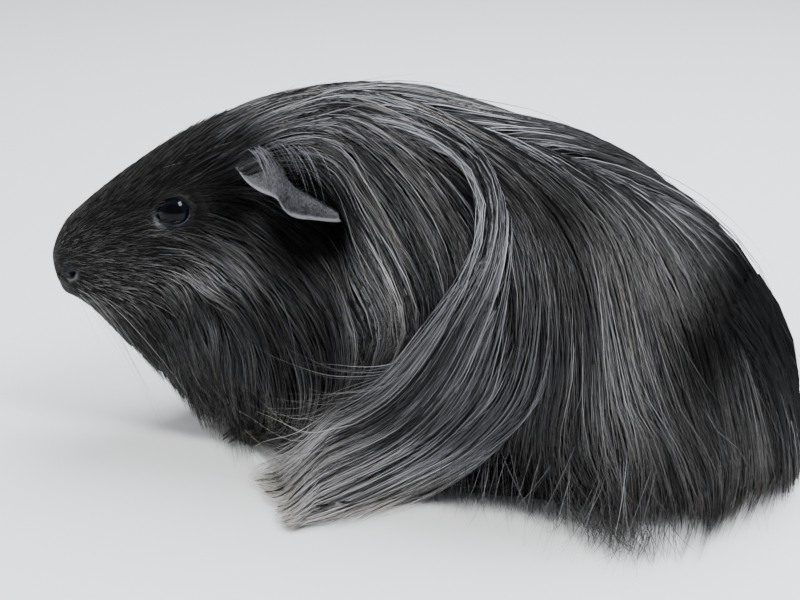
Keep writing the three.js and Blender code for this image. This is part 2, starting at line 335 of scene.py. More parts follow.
HEAD_RINGS, BODY_RINGS, AROUND = 150, 50, 264
ring_x = np.r_[
    60 * (1 - np.cos(np.linspace(0.02, 1, HEAD_RINGS) * math.pi / 2)) ** 0.92,
    np.linspace(60, LENGTH - 0.05, BODY_RINGS + 1)[1:],
]
share = np.linspace(0, 1, AROUND // 2 + 1)
ring_drop = np.r_[share, share[-2:0:-1]]
ring_side = np.r_[np.full(len(share), LEFT), np.full(len(share) - 2, RIGHT)]
grid_x, grid_drop = np.meshgrid(ring_x, ring_drop, indexing="ij")
plain_grid = skin_point(grid_x, grid_drop, np.broadcast_to(ring_side, grid_x.shape))
skin_grid = sculpted(plain_grid)
nostril_round, nostril_up = nostril_space(plain_grid)
from_nostril = np.hypot(nostril_round, nostril_up) + 9 * (grid_x > 12)
rim_below = smooth_step(nostril_round - nostril_up, -0.5, 1.5)
nostril_rim = 0.5 * np.exp(-(((from_nostril - 1.6) / 0.5) ** 2)) * rim_below
hide_points = [placed(skin_grid).reshape(-1, 3)]
hide_faces = grid_faces(*grid_x.shape, closed=True) + end_caps(*grid_x.shape)
lid_patch = np.zeros(grid_x.shape)
for side in (LEFT, RIGHT):
    along, away, angle = eye_space(plain_grid, side)
    turn = turn_from(angle, LID_PATCH)
    on = (np.sign(plain_grid[..., 1]) == side) & (along > 0)
    lid_patch += on * np.exp(-((turn / 0.5) ** 2) - ((away - 1.45) / 0.35) ** 2)
nose_bare = 0.3 * smooth_step(-grid_x, -8, -3) * smooth_step(grid_drop, 0.3, 0.42)
hide_bare = [(np.maximum(nose_bare, np.exp(-((from_nostril / 2.2) ** 4))) + 0.8 * lid_patch).ravel()]
# Paler at each nostril's lower rim and at the bare patch before each eye, and dark inside each nostril as
# painted shade.
hide_rim_and_painted_light = [(nostril_rim - 1.6 * np.exp(-((from_nostril / 0.9) ** 2)) + 0.9 * lid_patch).ravel()]
hide_grain = [np.stack([grid_x, 60 * grid_drop * ring_side, 0 * grid_x], -1).reshape(-1, 3)]


def add_hide(points, faces, bare, grain, rim=0.0):
    """Joins more of the animal to its skin."""
    hide_rim_and_painted_light.append(np.broadcast_to(rim, points.shape[:-1]).ravel())
    first = sum(len(part) for part in hide_points)
    hide_points.append(points.reshape(-1, 3))
    hide_faces.extend([[first + corner for corner in face] for face in faces])
    hide_bare.append(np.broadcast_to(bare, points.shape[:-1]).ravel())
    hide_grain.append(grain.reshape(-1, 3))


# Ears: thin petals of bare skin that hang over the back of the cheek. Each has a deep cup at its upper
# edge, a step in its lower one, and a rim that rolls under towards the tip.
EAR_THICK = 0.9
EAR_ROWS, EAR_LINES = 72, 30
EAR_FRONT, EAR_REACH, RIGHT_EAR_LENGTH, RIGHT_EAR_TUCK = 55, 46, 0.5, 0.15
ear_root = [
    (56.5, 15.5, 84), (62, 17, 85), (67, 18, 85), (72, 21, 82.5),
    (78, 25, 80), (84, 28, 79), (92, 32, 77.5), (97, 36, 77),
]
ear_fold = [
    (55.5, 19.3, 87), (62, 21.8, 88.6), (66.6, 23.6, 88.8), (71, 27.4, 86.2),
    (76.3, 32.1, 83), (82.2, 35, 81.6), (91.1, 38.6, 79.7), (98.7, 40.4, 78.7),
]
ear_edge = [
    (54.3, 20.6, 85.4), (58, 25.2, 82.6), (63, 29.5, 80.8), (69.5, 32.8, 79.8),
    (73, 36.4, 77.6), (77.5, 38.8, 76.6), (87, 41.4, 77.0), (100.3, 42.3, 76.4),
]


def ear_line(knots, at):
    """A smooth line through knots at even steps."""
    knots = np.array(knots, float)
    t = np.arange(len(knots)) / (len(knots) - 1)
    return np.stack([smooth_line(*zip(t, knots[:, k]))(at) for k in range(3)], -1)


def on_side(points, side):
    """Puts part of an ear on its side, shorter on the right, where the turned neck stretches it."""
    if side == LEFT:
        return points * [1, LEFT, 1]
    x, y, z = points[..., 0], points[..., 1], points[..., 2]
    back = np.maximum(x - EAR_FRONT, 0)
    tuck = 1 - RIGHT_EAR_TUCK * back / EAR_REACH
    return np.stack([x - (1 - RIGHT_EAR_LENGTH) * back, y * tuck, z], -1)


ear_u = np.linspace(0, 1, EAR_ROWS)[:, None]
ear_v = np.linspace(0, 1, EAR_LINES)[None]
CUP_END, ROLL_START = 0.3, 0.85  # shares of the way from the root to the edge
root_line = ear_line(ear_root, ear_u[:, 0])[:, None]
fold_line = ear_line(ear_fold, ear_u[:, 0])[:, None]
edge_line = ear_line(ear_edge, ear_u[:, 0])[:, None]
tip = np.sqrt(1 - 0.85 * np.clip((ear_u - 0.9) / 0.1, 0, 1) ** 2)[..., None]
edge_line = fold_line + (edge_line - fold_line) * (0.5 + 0.5 * tip)
fold_line = edge_line + (fold_line - edge_line) * (0.4 + 0.6 * tip)
in_cup = np.clip(ear_v / CUP_END, 0, 1)[..., None]
in_flap = np.clip((ear_v - CUP_END) / (ROLL_START - CUP_END), 0, 1)[..., None]
in_roll = np.clip((ear_v - ROLL_START) / (1 - ROLL_START), 0, 1)[..., None]
EAR_OUT = unit(np.array([-0.15, 0.7, 0.7]))
flap = fold_line + (edge_line - fold_line) * in_flap
cup = root_line + (fold_line - root_line) * np.sin(in_cup * math.pi / 2)
ear_sheet = np.where(ear_v[..., None] < CUP_END, cup, flap)
width_here = np.linalg.norm(edge_line - fold_line, axis=-1, keepdims=True)
dish = -0.16 * width_here * np.sin(in_flap * math.pi) ** 1.2 * smooth_step(-ear_u[..., None], -0.5, -0.05)
crest = 0.12 * width_here * np.sin(in_flap * math.pi) * smooth_step(ear_u[..., None], 0.4, 0.7)
ripple = 0.22 * np.sin(19 * ear_u[..., None] + 2 * ear_v[..., None]) * in_flap
to_tip = smooth_step(ear_u[..., None], 0.55, 0.8)
roll = np.array([0.0, -0.55, -0.85]) * in_roll * (0.5 + 1.3 * to_tip)
inner_turn = np.array([0.0, -1.0, 0.1]) * in_roll**2 * (0.2 + 1.0 * to_tip)
ear_sheet = ear_sheet + (dish + crest + ripple) * EAR_OUT + roll + inner_turn
across_ear = np.gradient(ear_sheet, axis=1)
along_ear = np.gradient(ear_sheet, axis=0)
ear_normal = unit(np.cross(along_ear, across_ear))
ear_normal *= np.sign((ear_normal * EAR_OUT).sum(-1).mean())
thin = EAR_THICK * (1 - 0.45 * smooth_step(ear_v, 0.75, 1.0)) * (1 - 0.5 * smooth_step(ear_u, 0.9, 1.0))
ear_back = ear_sheet - ear_normal * thin[..., None]
ear_shell = np.concatenate([ear_sheet, ear_back[:, ::-1]], axis=1)
# The paleness of each ear's skin: a pale rim along its lower edge, partly its own colour and partly a
# painted highlight; painted shade in the cup; a painted highlight over the front of the flap; and painted
# shade over the whole underside.
ear_pale_and_painted_light = 0.9 * smooth_step(ear_v, 0.78, 0.87) - 0.75 * np.exp(-(((ear_v - 0.12) / 0.16) ** 2))
ear_pale_and_painted_light = ear_pale_and_painted_light + 0.22 * (1 - smooth_step(ear_u, 0.3, 0.55)) * smooth_step(ear_v, 0.2, 0.4)
ear_rim_and_painted_light = np.concatenate([ear_pale_and_painted_light, -0.6 + 0 * ear_pale_and_painted_light], axis=1)
shell_faces = grid_faces(EAR_ROWS, 2 * EAR_LINES, closed=True) + end_caps(EAR_ROWS, 2 * EAR_LINES)
for side in (LEFT, RIGHT):
    side_faces = shell_faces if side == LEFT else flipped(shell_faces)
    add_hide(placed(on_side(ear_shell, side)), side_faces, 1.0, ear_shell * [1, side, 1], ear_rim_and_painted_light)

# Legs: short, in the coat down to the feet. Four toes in front and three behind, on bare soles.
FOREFOOT = {"x": 69, "y": 17, "length": 20, "width": 10.5, "height": 8, "toes": 4, "leg": 8, "lean": 6}
HINDFOOT = {"x": 165, "y": 35, "length": 44, "width": 13, "height": 9, "toes": 3, "leg": 12, "lean": -6}
LEG_TOP = 34.0
TOE_RADIUS = 2.2
TOE_REACH = 5.5
FOOT_GRAIN = 0.72  # mm, of the mesh of a foot


def round_limb(spine, radii, around=14):
    """A closed limb with round ends along a line of points."""
    spine, radii = np.asarray(spine, float), np.asarray(radii, float)
    ahead = unit(np.gradient(spine, axis=0))
    cap = np.sin(np.linspace(0.08, 1, 4) * math.pi / 2)
    push = 1 - np.cos(np.linspace(0.08, 1, 4) * math.pi / 2)
    start = spine[0] + ahead[0] * radii[0] * (push[:, None] - 1)
    stop = spine[-1] + ahead[-1] * radii[-1] * (1 - push[::-1, None])
    line = np.vstack([start, spine[1:-1], stop])
    size = np.r_[cap * radii[0], radii[1:-1], cap[::-1] * radii[-1]]
    ahead = np.vstack([np.repeat(ahead[:1], 4, 0), ahead[1:-1], np.repeat(ahead[-1:], 4, 0)])
    aside = unit(np.cross(ahead, [0.0, 0.05, 1.0]))
    over = np.cross(aside, ahead)
    turn = np.linspace(0, 2 * math.pi, around, endpoint=False)
    ring = np.cos(turn)[None, :, None] * aside[:, None] + np.sin(turn)[None, :, None] * over[:, None]
    points = line[:, None] + ring * size[:, None, None]
    return points.reshape(-1, 3), grid_faces(len(line), around, closed=True) + end_caps(len(line), around)


def toe_lines(foot):
    """The root, knuckle and tip of each toe, on the right side."""
    front = foot["x"] - foot["length"] / 2
    for i in range(foot["toes"]):
        across = 2 * i / (foot["toes"] - 1) - 1
        y = foot["y"] + across * (foot["width"] / 2 - TOE_RADIUS * 0.6)
        tip = np.array([front - TOE_REACH * (1 - 0.35 * across**2), y, TOE_RADIUS * 0.8])
        root = np.array([front + 6, foot["y"] + (y - foot["y"]) * 0.8, 3.2])
        knuckle = (root + tip) / 2 + [0, 0, 1.3]
        yield root, knuckle, tip


def foot_mesh(foot):
    """A leg and foot drawn as limbs, then melted into one closed skin."""
    x, y, length, width, height = (foot[k] for k in ("x", "y", "length", "width", "height"))
    heel, ball = x + length / 2 - height / 2, x - length / 2 + width * 0.3
    knee, ankle = [x + foot["lean"], y, LEG_TOP], [x + length * 0.18, y, height * 0.6]
    sole = [[heel, y, height * 0.36], [x, y, height * 0.45], [ball, y, height * 0.36]]
    limbs = [round_limb(sole, np.array([0.42, 0.5, 0.44]) * height)]
    for s in (-1, 1):
        pad = [
            [ball + 3, y + s * width * 0.2, 2.6],
            [ball, y + s * width * 0.22, 2.6],
            [ball - 2, y + s * width * 0.2, 2.4],
        ]
        limbs.append(round_limb(pad, [2.7, 2.8, 2.5]))
    shin = [ankle, np.add(ankle, knee) / 2, knee]
    limbs.append(round_limb(shin, np.array([0.42, 0.55, 0.8]) * foot["leg"]))
    limbs += [round_limb(line, np.array([1, 1.02, 0.8]) * TOE_RADIUS) for line in toe_lines(foot)]
    points, faces, first = [], [], 0
    for limb_points, limb_faces in limbs:
        points.append(limb_points)
        faces += [[first + corner for corner in face] for face in limb_faces]
        first += len(limb_points)
    rough = new_piece("foot_limbs", new_mesh("foot_limbs", np.vstack(points), faces))
    melt = rough.modifiers.new("melt", "REMESH")
    melt.mode = "VOXEL"
    melt.voxel_size = FOOT_GRAIN
    soften = rough.modifiers.new("soften", "SMOOTH")
    soften.factor = 0.5
    soften.iterations = 5
    made = bpy.data.meshes.new_from_object(rough.evaluated_get(bpy.context.evaluated_depsgraph_get()))
    points = np.empty(len(made.vertices) * 3)
    made.vertices.foreach_get("co", points)
    faces = [list(polygon.vertices) for polygon in made.polygons]
    bpy.data.objects.remove(rough)
    bpy.data.meshes.remove(made)
    points = points.reshape(-1, 3)
    points[:, 2] = np.maximum(points[:, 2], 0.12)
    return points, faces


for foot in (FOREFOOT, HINDFOOT):
    foot_points, foot_faces = foot_mesh(foot)
    for side in (LEFT, RIGHT):
        mirrored = foot_points * [1, side, 1]
        side_faces = foot_faces if side == RIGHT else flipped(foot_faces)
        add_hide(placed(mirrored), side_faces, 0.25 * smooth_step(-mirrored[:, 2], -2.0, -0.6), mirrored)

skin_mesh = new_mesh("skin", np.vstack(hide_points), hide_faces)
hide_columns = {"bare": np.concatenate(hide_bare), "rim": np.concatenate(hide_rim_and_painted_light)}
add_attributes(skin_mesh, hide_columns | {"grain": np.vstack(hide_grain)})


def new_material(name, roughness, specular=0.5):
    material = bpy.data.materials.new(name)
    material.use_nodes = True
    shader = material.node_tree.nodes["Principled BSDF"]
    shader.inputs["Roughness"].default_value = roughness
    shader.inputs["Specular IOR Level"].default_value = specular
    return material, shader


def new_node(tree, kind, inputs=None, **settings):
    """A node with its settings, and its inputs given as numbers or as other nodes' outputs."""
    node = tree.nodes.new(kind)
    for key, value in settings.items():
        setattr(node, key, value)
    for key, value in (inputs or {}).items():
        if isinstance(value, bpy.types.NodeSocket):
            tree.links.new(value, node.inputs[key])
        else:
            node.inputs[key].default_value = value
    return node


def linked(material, kind, inputs=None, **settings):
    return new_node(material.node_tree, kind, inputs, **settings)


def finished(material, shader, colour, normal=None):
    """Gives a material its nodes for colour and, where it has one, for bump."""
    material.node_tree.links.new(colour, shader.inputs["Base Color"])
    if normal:
        material.node_tree.links.new(normal, shader.inputs["Normal"])


def attribute(material, key, output="Fac"):
    return linked(material, "ShaderNodeAttribute", attribute_name=key).outputs[output]


def blend(material, factor, low, high):
    """Between two colours, or two nodes' colours, by a factor."""
    colours = {"A": low if isinstance(low, bpy.types.NodeSocket) else (*low, 1)}
    colours["B"] = high if isinstance(high, bpy.types.NodeSocket) else (*high, 1)
    mix = linked(material, "ShaderNodeMix", {"Factor": factor, **colours}, data_type="RGBA")
    return mix.outputs["Result"]


def ranged(material, value, low, high):
    inputs = {"Value": value, "From Min": low, "From Max": high}
    return linked(material, "ShaderNodeMapRange", inputs).outputs["Result"]


def noise(material, vector, scale, detail=4.0, stretch=(1, 1, 1)):
    moved = linked(material, "ShaderNodeMapping", {"Vector": vector, "Scale": stretch}).outputs["Vector"]
    inputs = {"Vector": moved, "Scale": scale, "Detail": detail}
    return linked(material, "ShaderNodeTexNoise", inputs).outputs["Fac"]


def bump(material, height, strength, distance, under=None):
    inputs = {"Height": height, "Strength": strength, "Distance": distance}
    if under:
        inputs["Normal"] = under
    return linked(material, "ShaderNodeBump", inputs).outputs["Normal"]


# Black skin: where it is bare it is slate grey and finely creased, elsewhere it is a mat of short fur.
hide_material, hide_shader = new_material("black_hide", 0.62, 0.16)
hide_vector = attribute(hide_material, "grain", "Vector")
bare = attribute(hide_material, "bare")
fur_lines = noise(hide_material, hide_vector, 1.0, 3.0, (0.5, 3.2, 3.2))
creases = noise(hide_material, hide_vector, 1.7, 5.0)
mottle = noise(hide_material, hide_vector, 1.3, 6.0)
in_fur = ranged(hide_material, fur_lines, 0.35, 0.7)
fur_colour = blend(hide_material, in_fur, (0.003, 0.003, 0.003), (0.011, 0.0105, 0.010))
mottled = ranged(hide_material, mottle, 0.3, 0.7)
slate = blend(hide_material, mottled, (0.012, 0.012, 0.014), (0.056, 0.0575, 0.064))
# The rim value paints the bare skin paler up to 1, at each nostril's lower rim, the patch before each eye
# and the ear's edge, where the ear also has a painted highlight over its front; and darker down to -0.8 as
# painted shade, inside each nostril, in each ear's cup and under each ear.
rim = attribute(hide_material, "rim")
slate = blend(hide_material, ranged(hide_material, rim, 0.0, 1.0), slate, (0.26, 0.26, 0.27))
slate = blend(hide_material, ranged(hide_material, rim, 0.0, -0.8), slate, (0.006, 0.006, 0.0065))
relief = bump(hide_material, fur_lines, 0.7, 0.0003)
relief = bump(hide_material, creases, 0.35, 0.00025, relief)
finished(hide_material, hide_shader, blend(hide_material, bare, fur_colour, slate), relief)
skin = new_piece("skin", skin_mesh, hide_material)
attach(skin, "root")
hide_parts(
    "head", "neck", "trunk", "hindquarters", "ear_left", "ear_right",
    "foreleg_left", "foreleg_right", "hindleg_left", "hindleg_right",
)

# ---- Eyes ----------------------------------------------------------------------------------------
# A wet, almost black globe in each socket, with a clear, slightly raised cornea. Its iris is blue-black
# round a black pupil, and nothing white shows.
GLOBE_RINGS, GLOBE_AROUND = 40, 64
CORNEA_RADIUS, CORNEA_RISE = 3.6, 0.35


def from_eye_axes(out, back, up, side):
    """Points from their distances along the eye's axis, back and up from its middle."""
    local = out[..., None] * EYE_AXIS + back[..., None] * EYE_BACK + up[..., None] * EYE_UP
    return (EYE + local) * [1, side, 1]


def globe_points(side):
    polar = np.linspace(0.002, math.pi, GLOBE_RINGS)[:, None]
    turn = np.linspace(0, 2 * math.pi, GLOBE_AROUND, endpoint=False)[None]
    away = EYE_RADIUS * np.sin(polar)
    cornea = CORNEA_RISE * np.exp(-((away / CORNEA_RADIUS) ** 2)) * (polar < math.pi / 2)
    return from_eye_axes(EYE_RADIUS * np.cos(polar) + cornea, away * np.cos(turn), away * np.sin(turn), side)


eye_material, eye_shader = new_material("wet_black_eye", 0.2, 0.0)
eye_shader.inputs["Coat Weight"].default_value = 0.55
eye_shader.inputs["Coat Roughness"].default_value = 0.02
eye_shader.inputs["Coat IOR"].default_value = 1.3
off_axis = attribute(eye_material, "off_axis")
iris_streaks = noise(eye_material, attribute(eye_material, "round_axis", "Vector"), 5.0, 4.0)
streaked = ranged(eye_material, iris_streaks, 0.3, 0.7)
iris = blend(eye_material, streaked, (0.001, 0.0012, 0.0024), (0.003, 0.0036, 0.0075))
pupil = blend(eye_material, ranged(eye_material, off_axis, 1.9, 2.5), (0.0008, 0.0008, 0.001), iris)
eye_colour = blend(eye_material, ranged(eye_material, off_axis, 3.9, 4.6), pupil, (0.001, 0.001, 0.0012))
finished(eye_material, eye_shader, eye_colour)
for side, side_name in SIDES:
    points = globe_points(side)
    faces = grid_faces(GLOBE_RINGS, GLOBE_AROUND, closed=True) + end_caps(GLOBE_RINGS, GLOBE_AROUND)
    mesh = new_mesh("eye_globe_" + side_name, placed(points), faces if side == LEFT else flipped(faces))
    along, away, angle = eye_space(points, side)
    off_middle = away * OPENING_HEIGHT
    spokes = np.stack([np.cos(angle) * 2, np.sin(angle) * 2, 0.25 * off_middle], -1)
    add_attributes(mesh, {"off_axis": off_middle, "round_axis": spokes})
    globe = new_piece("eye_globe_" + side_name, mesh, eye_material)
    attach(globe, "root")
    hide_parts("eye_" + side_name)

# ---- Eyelids -------------------------------------------------------------------------------------
# A bare, rounded rim of skin fits close round each globe. It is black above, and paler and wider below
# and behind.
LID_AROUND, LID_LINES = 96, 12
lid_turn = np.linspace(0, 2 * math.pi, LID_AROUND, endpoint=False)[:, None]
lid_roll = np.linspace(0, 2 * math.pi, LID_LINES, endpoint=False)[None]
lower_back = 0.5 + 0.5 * np.cos(lid_turn - math.radians(-65))
lid_thick = 0.26 + 0.2 * lower_back
lid_material, lid_shader = new_material("eyelid_rim", 0.6, 0.1)
lid_vector = linked(lid_material, "ShaderNodeTexCoord").outputs["Object"]
lid_creases = noise(lid_material, lid_vector, 2600.0, 3.0)
creased = ranged(lid_material, lid_creases, 0.3, 0.7)
lid_pale = blend(lid_material, creased, (0.02, 0.021, 0.025), (0.06, 0.063, 0.072))
lid_colour = blend(lid_material, attribute(lid_material, "pale"), (0.004, 0.004, 0.005), lid_pale)
finished(lid_material, lid_shader, lid_colour, bump(lid_material, lid_creases, 0.3, 0.0001))
for side, side_name in SIDES:
    edge = opening(lid_turn) + lid_thick * (np.cos(lid_roll) * 0.85 + 0.55) / OPENING_HEIGHT
    back = edge * np.cos(lid_turn) * OPENING_LENGTH
    up = edge * np.sin(lid_turn) * OPENING_HEIGHT
    away = np.hypot(back, up)
    on_globe = np.sqrt(np.maximum(EYE_RADIUS**2 - away**2, 4.0)) + 0.12
    out = on_globe + lid_thick * (np.sin(lid_roll) * 0.8 + 0.25)
    faces = grid_faces(LID_AROUND, LID_LINES, closed=True)
    last = (LID_AROUND - 1) * LID_LINES
    for j in range(LID_LINES):
        k = (j + 1) % LID_LINES
        faces.append([last + j, last + k, k, j])
    lid_points = placed(from_eye_axes(out, back, up, side))
    mesh = new_mesh("eyelids_" + side_name, lid_points, flipped(faces) if side == LEFT else faces)
    add_attributes(mesh, {"pale": smooth_step(lower_back, 0.45, 0.85) * np.ones_like(lid_roll)})
    lids = new_piece("eyelids_" + side_name, mesh, lid_material)
    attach(lids, "root")

# ---- Claws ---------------------------------------------------------------------------------------
# One short claw of dark horn grows from each toe and curves down to the floor. It tapers to a blunt tip
# and is finely streaked along its length.
CLAW_LENGTH = 4.8
CLAW_RADIUS = 0.85
claw_points, claw_faces, claw_first = [], [], 0
for foot in (FOREFOOT, HINDFOOT):
    for side in (LEFT, RIGHT):
        for root, knuckle, tip in toe_lines(foot):
            t = np.linspace(0, 1, 7)[:, None]
            base = tip + [-0.9, 0, 0.5]
            spine = base + [-CLAW_LENGTH, 0, 0] * t + [0, 0, 0.5] * np.sin(t * math.pi) - [0, 0, 1.6] * t**2
            spine[:, 2] = np.maximum(spine[:, 2], 0.35)
            radii = CLAW_RADIUS * (1 - 0.85 * t[:, 0] ** 1.4)
            points, faces = round_limb(spine, radii, around=10)
            claw_points.append(placed(points * [1, side, 1]))
            faces = flipped(faces) if side == LEFT else faces
            claw_faces += [[claw_first + corner for corner in face] for face in faces]
            claw_first += len(points)
claw_material, claw_shader = new_material("dark_horn", 0.32, 0.5)
claw_vector = linked(claw_material, "ShaderNodeTexCoord").outputs["Object"]
claw_grain = noise(claw_material, claw_vector, 900.0, 3.0, (0.15, 1, 1))
claw_colour = blend(claw_material, claw_grain, (0.008, 0.007, 0.007), (0.05, 0.043, 0.038))
finished(claw_material, claw_shader, claw_colour, bump(claw_material, claw_grain, 0.4, 0.0002))
claws = new_piece("claws", new_mesh("claws", np.vstack(claw_points), claw_faces), claw_material)
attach(claws, "root")

# ---- Short fur -----------------------------------------------------------------------------------
# Sleek black fur covers the face and feet, 1 mm long on the nose and about 10 mm under the chin, and pale
# down the ears. Each hair is a thin solid blade that grows out of the hide and lies back along the comb
# of the coat.
seeded = np.random.default_rng(7)
HAIR_REST = 0.3  # least height of a hair's middle line over the floor

# The lie of the hair in side view, as smooth curves through a few points of x and height. Heights below 0
# lie out on the floor beyond the hem.
COMBED_FACE = [
    [(3, 61), (21, 60), (40, 54), (55, 40), (62, 6)],
    [(12, 68), (30, 65), (56, 52), (71, 34), (74, 8)],
    [(44, 75), (53, 68), (73, 56), (90, 36), (94, 0)],
    [(46, 78), (68, 66), (99, 48), (100, 12)],
    [(8, 56), (26, 55), (44, 39), (53, 6)],
    [(6, 48), (22, 41), (40, 19), (53, 2)],
    [(9, 42), (32, 26), (54, 2)],
]
COMBED = {
    LEFT: COMBED_FACE + [
        [(2, 60), (24, 79), (62, 97), (90, 104), (128, 94), (150, 76), (138, 53), (116, 25), (88, 8),
         (60, -22)],
        [(95, 107), (123, 100), (145, 85), (156, 62), (145, 36), (118, 9), (90, -26)],
        [(106, 107), (132, 99), (156, 79), (162, 55), (151, 21), (108, -32)],
        [(5, 60), (40, 82), (76, 100), (115, 92), (136, 66), (118, 36), (82, 10), (55, -24)],
        [(50, 84), (72, 97), (113, 84), (129, 60), (113, 31), (82, 15), (58, -8)],
        [(66, 90), (90, 88), (108, 72), (125, 47), (110, 26)],
        [(68, 64), (98, 54), (112, 38), (102, 8)],
        [(108, 101), (140, 94), (168, 82), (172, 60), (163, 30), (170, 12), (190, -8)],
        [(104, 105), (138, 97), (168, 86), (183, 60), (190, 28), (192, -8)],
        [(116, 103), (154, 94), (182, 80), (198, 54), (212, 0)],
        [(146, 97), (182, 83), (205, 60), (216, 30), (214, 0)],
        [(182, 83), (211, 56), (223, 10)],
    ],
    RIGHT: COMBED_FACE + [
        [(2, 60), (24, 79), (62, 97), (88, 103), (129, 91), (148, 60), (148, 25), (142, -10)],
        [(5, 60), (40, 80), (79, 92), (114, 72), (123, 42), (112, -8)],
        [(68, 64), (98, 54), (112, 34), (109, 6)],
        [(100, 107), (138, 98), (161, 76), (171, 36), (168, -8)],
        [(112, 104), (154, 94), (184, 66), (192, 22), (191, -6)],
        [(136, 99), (174, 86), (204, 55), (210, -8)],
        [(165, 92), (199, 66), (215, 30), (215, 0)],
        [(182, 83), (211, 56), (223, 10)],
    ],
}
COMB_REACH = 8.0  # mm over which a combed line guides the hair beside it
DROP_SPAN = 120.0  # mm to one unit of drop, where lines are drawn over the coat


def drop_of(x, z):
    """The share of the way down at which the coat is at this height."""
    shares = np.linspace(0, 1, 201)
    heights = coat_point(np.full(len(shares), float(x)), shares, LEFT)[:, 2]
    return float(np.interp(-z, -heights, shares)) if z >= 0 else 1 - z / FLOOR_RUN


def resampled(points, count):
    """Points at even steps along a polyline."""
    points = np.asarray(points, float)
    length = np.r_[0, np.cumsum(np.linalg.norm(np.diff(points, axis=0), axis=1))]
    at = np.linspace(0, length[-1], count)
    return np.stack([np.interp(at, length, points[:, k]) for k in range(points.shape[1])], -1)


def drawn(knots, count):
    """A smooth curve through a few points, as points at even steps along it."""
    knots = np.asarray(knots, float)
    length = np.r_[0, np.cumsum(np.linalg.norm(np.diff(knots, axis=0), axis=1))]
    at = np.linspace(0, length[-1], 200)
    curve = np.stack([smooth_line(*zip(length, knots[:, k]))(at) for k in range(knots.shape[1])], -1)
    return resampled(curve, count)


def surface_steps(x, drop, side):
    """How the coat's surface moves with x and with drop."""
    nudge_x, nudge_d = 0.25, 0.002
    by_x = coat_point(x + nudge_x, drop, side) - coat_point(x - nudge_x, drop, side)
    by_d = coat_point(x, drop + nudge_d, side) - coat_point(x, drop - nudge_d, side)
    return by_x / (2 * nudge_x), by_d / (2 * nudge_d)


FIELD_X = np.linspace(1, LENGTH - 1, 113)
FIELD_DROP = np.linspace(0.0, 1.5, 76)


def combed_field(side):
    """The heading of the hair, as a grid over the coat: its share along x and along drop."""
    sources, headings = [], []
    for line in COMBED[side]:
        knots = np.array([(x, drop_of(x, z)) for x, z in line])
        knots = drawn(knots * [1, DROP_SPAN], 8 * len(line)) / [1, DROP_SPAN]
        solid = coat_point(knots[:, 0], knots[:, 1], np.full(len(knots), side))
        step = np.diff(solid, axis=0)
        middle = (knots[1:] + knots[:-1]) / 2
        by_x, by_d = surface_steps(middle[:, 0], middle[:, 1], np.full(len(middle), side))
        along = np.einsum("ij,ij->i", step, unit(by_x))
        down = np.einsum("ij,ij->i", step, unit(by_d))
        headings.append(unit(np.stack([along, down], -1)))
        sources.append((solid[1:] + solid[:-1]) / 2)
    sources, headings = np.vstack(sources), np.vstack(headings)
    gx, gd = np.meshgrid(FIELD_X, FIELD_DROP, indexing="ij")
    places = coat_point(gx, gd, np.full(gx.shape, side)).reshape(-1, 3)
    gap = np.linalg.norm(places[:, None] - sources[None], axis=-1)
    weight = np.exp(-((gap / COMB_REACH) ** 2) / 2) + 1e-3 / (1 + gap**2)
    return unit(weight @ headings).reshape(len(FIELD_X), len(FIELD_DROP), 2)


fields = np.stack([combed_field(LEFT), combed_field(RIGHT)])


def heading_at(x, drop, side):
    i = np.clip((x - FIELD_X[0]) / (FIELD_X[1] - FIELD_X[0]), 0, len(FIELD_X) - 1.001)
    j = np.clip((drop - FIELD_DROP[0]) / (FIELD_DROP[1] - FIELD_DROP[0]), 0, len(FIELD_DROP) - 1.001)
    i0, j0, of_side = i.astype(int), j.astype(int), (side == RIGHT).astype(int)
    u, v = (i - i0)[:, None], (j - j0)[:, None]
    near = fields[of_side, i0, j0] * (1 - u) + fields[of_side, i0 + 1, j0] * u
    far = fields[of_side, i0, j0 + 1] * (1 - u) + fields[of_side, i0 + 1, j0 + 1] * u
    return unit(near * (1 - v) + far * v)


def combed_paths(x, drop, side, length, steps, wander):
    """Follows the comb over the coat from each root: x, drop and the distance run at each step."""
    x, drop = x.copy(), drop.copy()
    phase = seeded.uniform(0, 2 * math.pi, len(x))
    wave = seeded.uniform(45, 110, len(x))
    bend = seeded.normal(0, wander, len(x))
    track = [np.stack([x, drop, np.zeros_like(x)], -1)]
    step = length / steps
    for k in range(steps):
        heading = heading_at(x, drop, side)
        angle = bend * np.sin(2 * math.pi * step * k / wave + phase)
        along = heading[:, 0] * np.cos(angle) - heading[:, 1] * np.sin(angle)
        down = heading[:, 0] * np.sin(angle) + heading[:, 1] * np.cos(angle)
        by_x, by_d = surface_steps(x, drop, side)
        x = np.clip(x + step * along / np.maximum(np.linalg.norm(by_x, axis=1), 0.6), 0.5, LENGTH - 0.4)
        drop = np.clip(drop + step * down / np.maximum(np.linalg.norm(by_d, axis=1), 8), 0.0, 1.48)
        track.append(np.stack([x, drop, step * (k + 1)], -1))
    return np.stack(track, 1)


# The coat sinks in above and under each ear: the side, x, height, reach along and up, and depth.
EAR_HOLLOWS = (
    (LEFT, 77.0, 86.5, 8.0, 4.5, 4.0), (LEFT, 86.0, 71.0, 16.0, 6.5, 6.0),
    (RIGHT, 66.0, 86.5, 4.5, 4.5, 4.0), (RIGHT, 71.0, 71.0, 8.0, 6.5, 6.0),
)


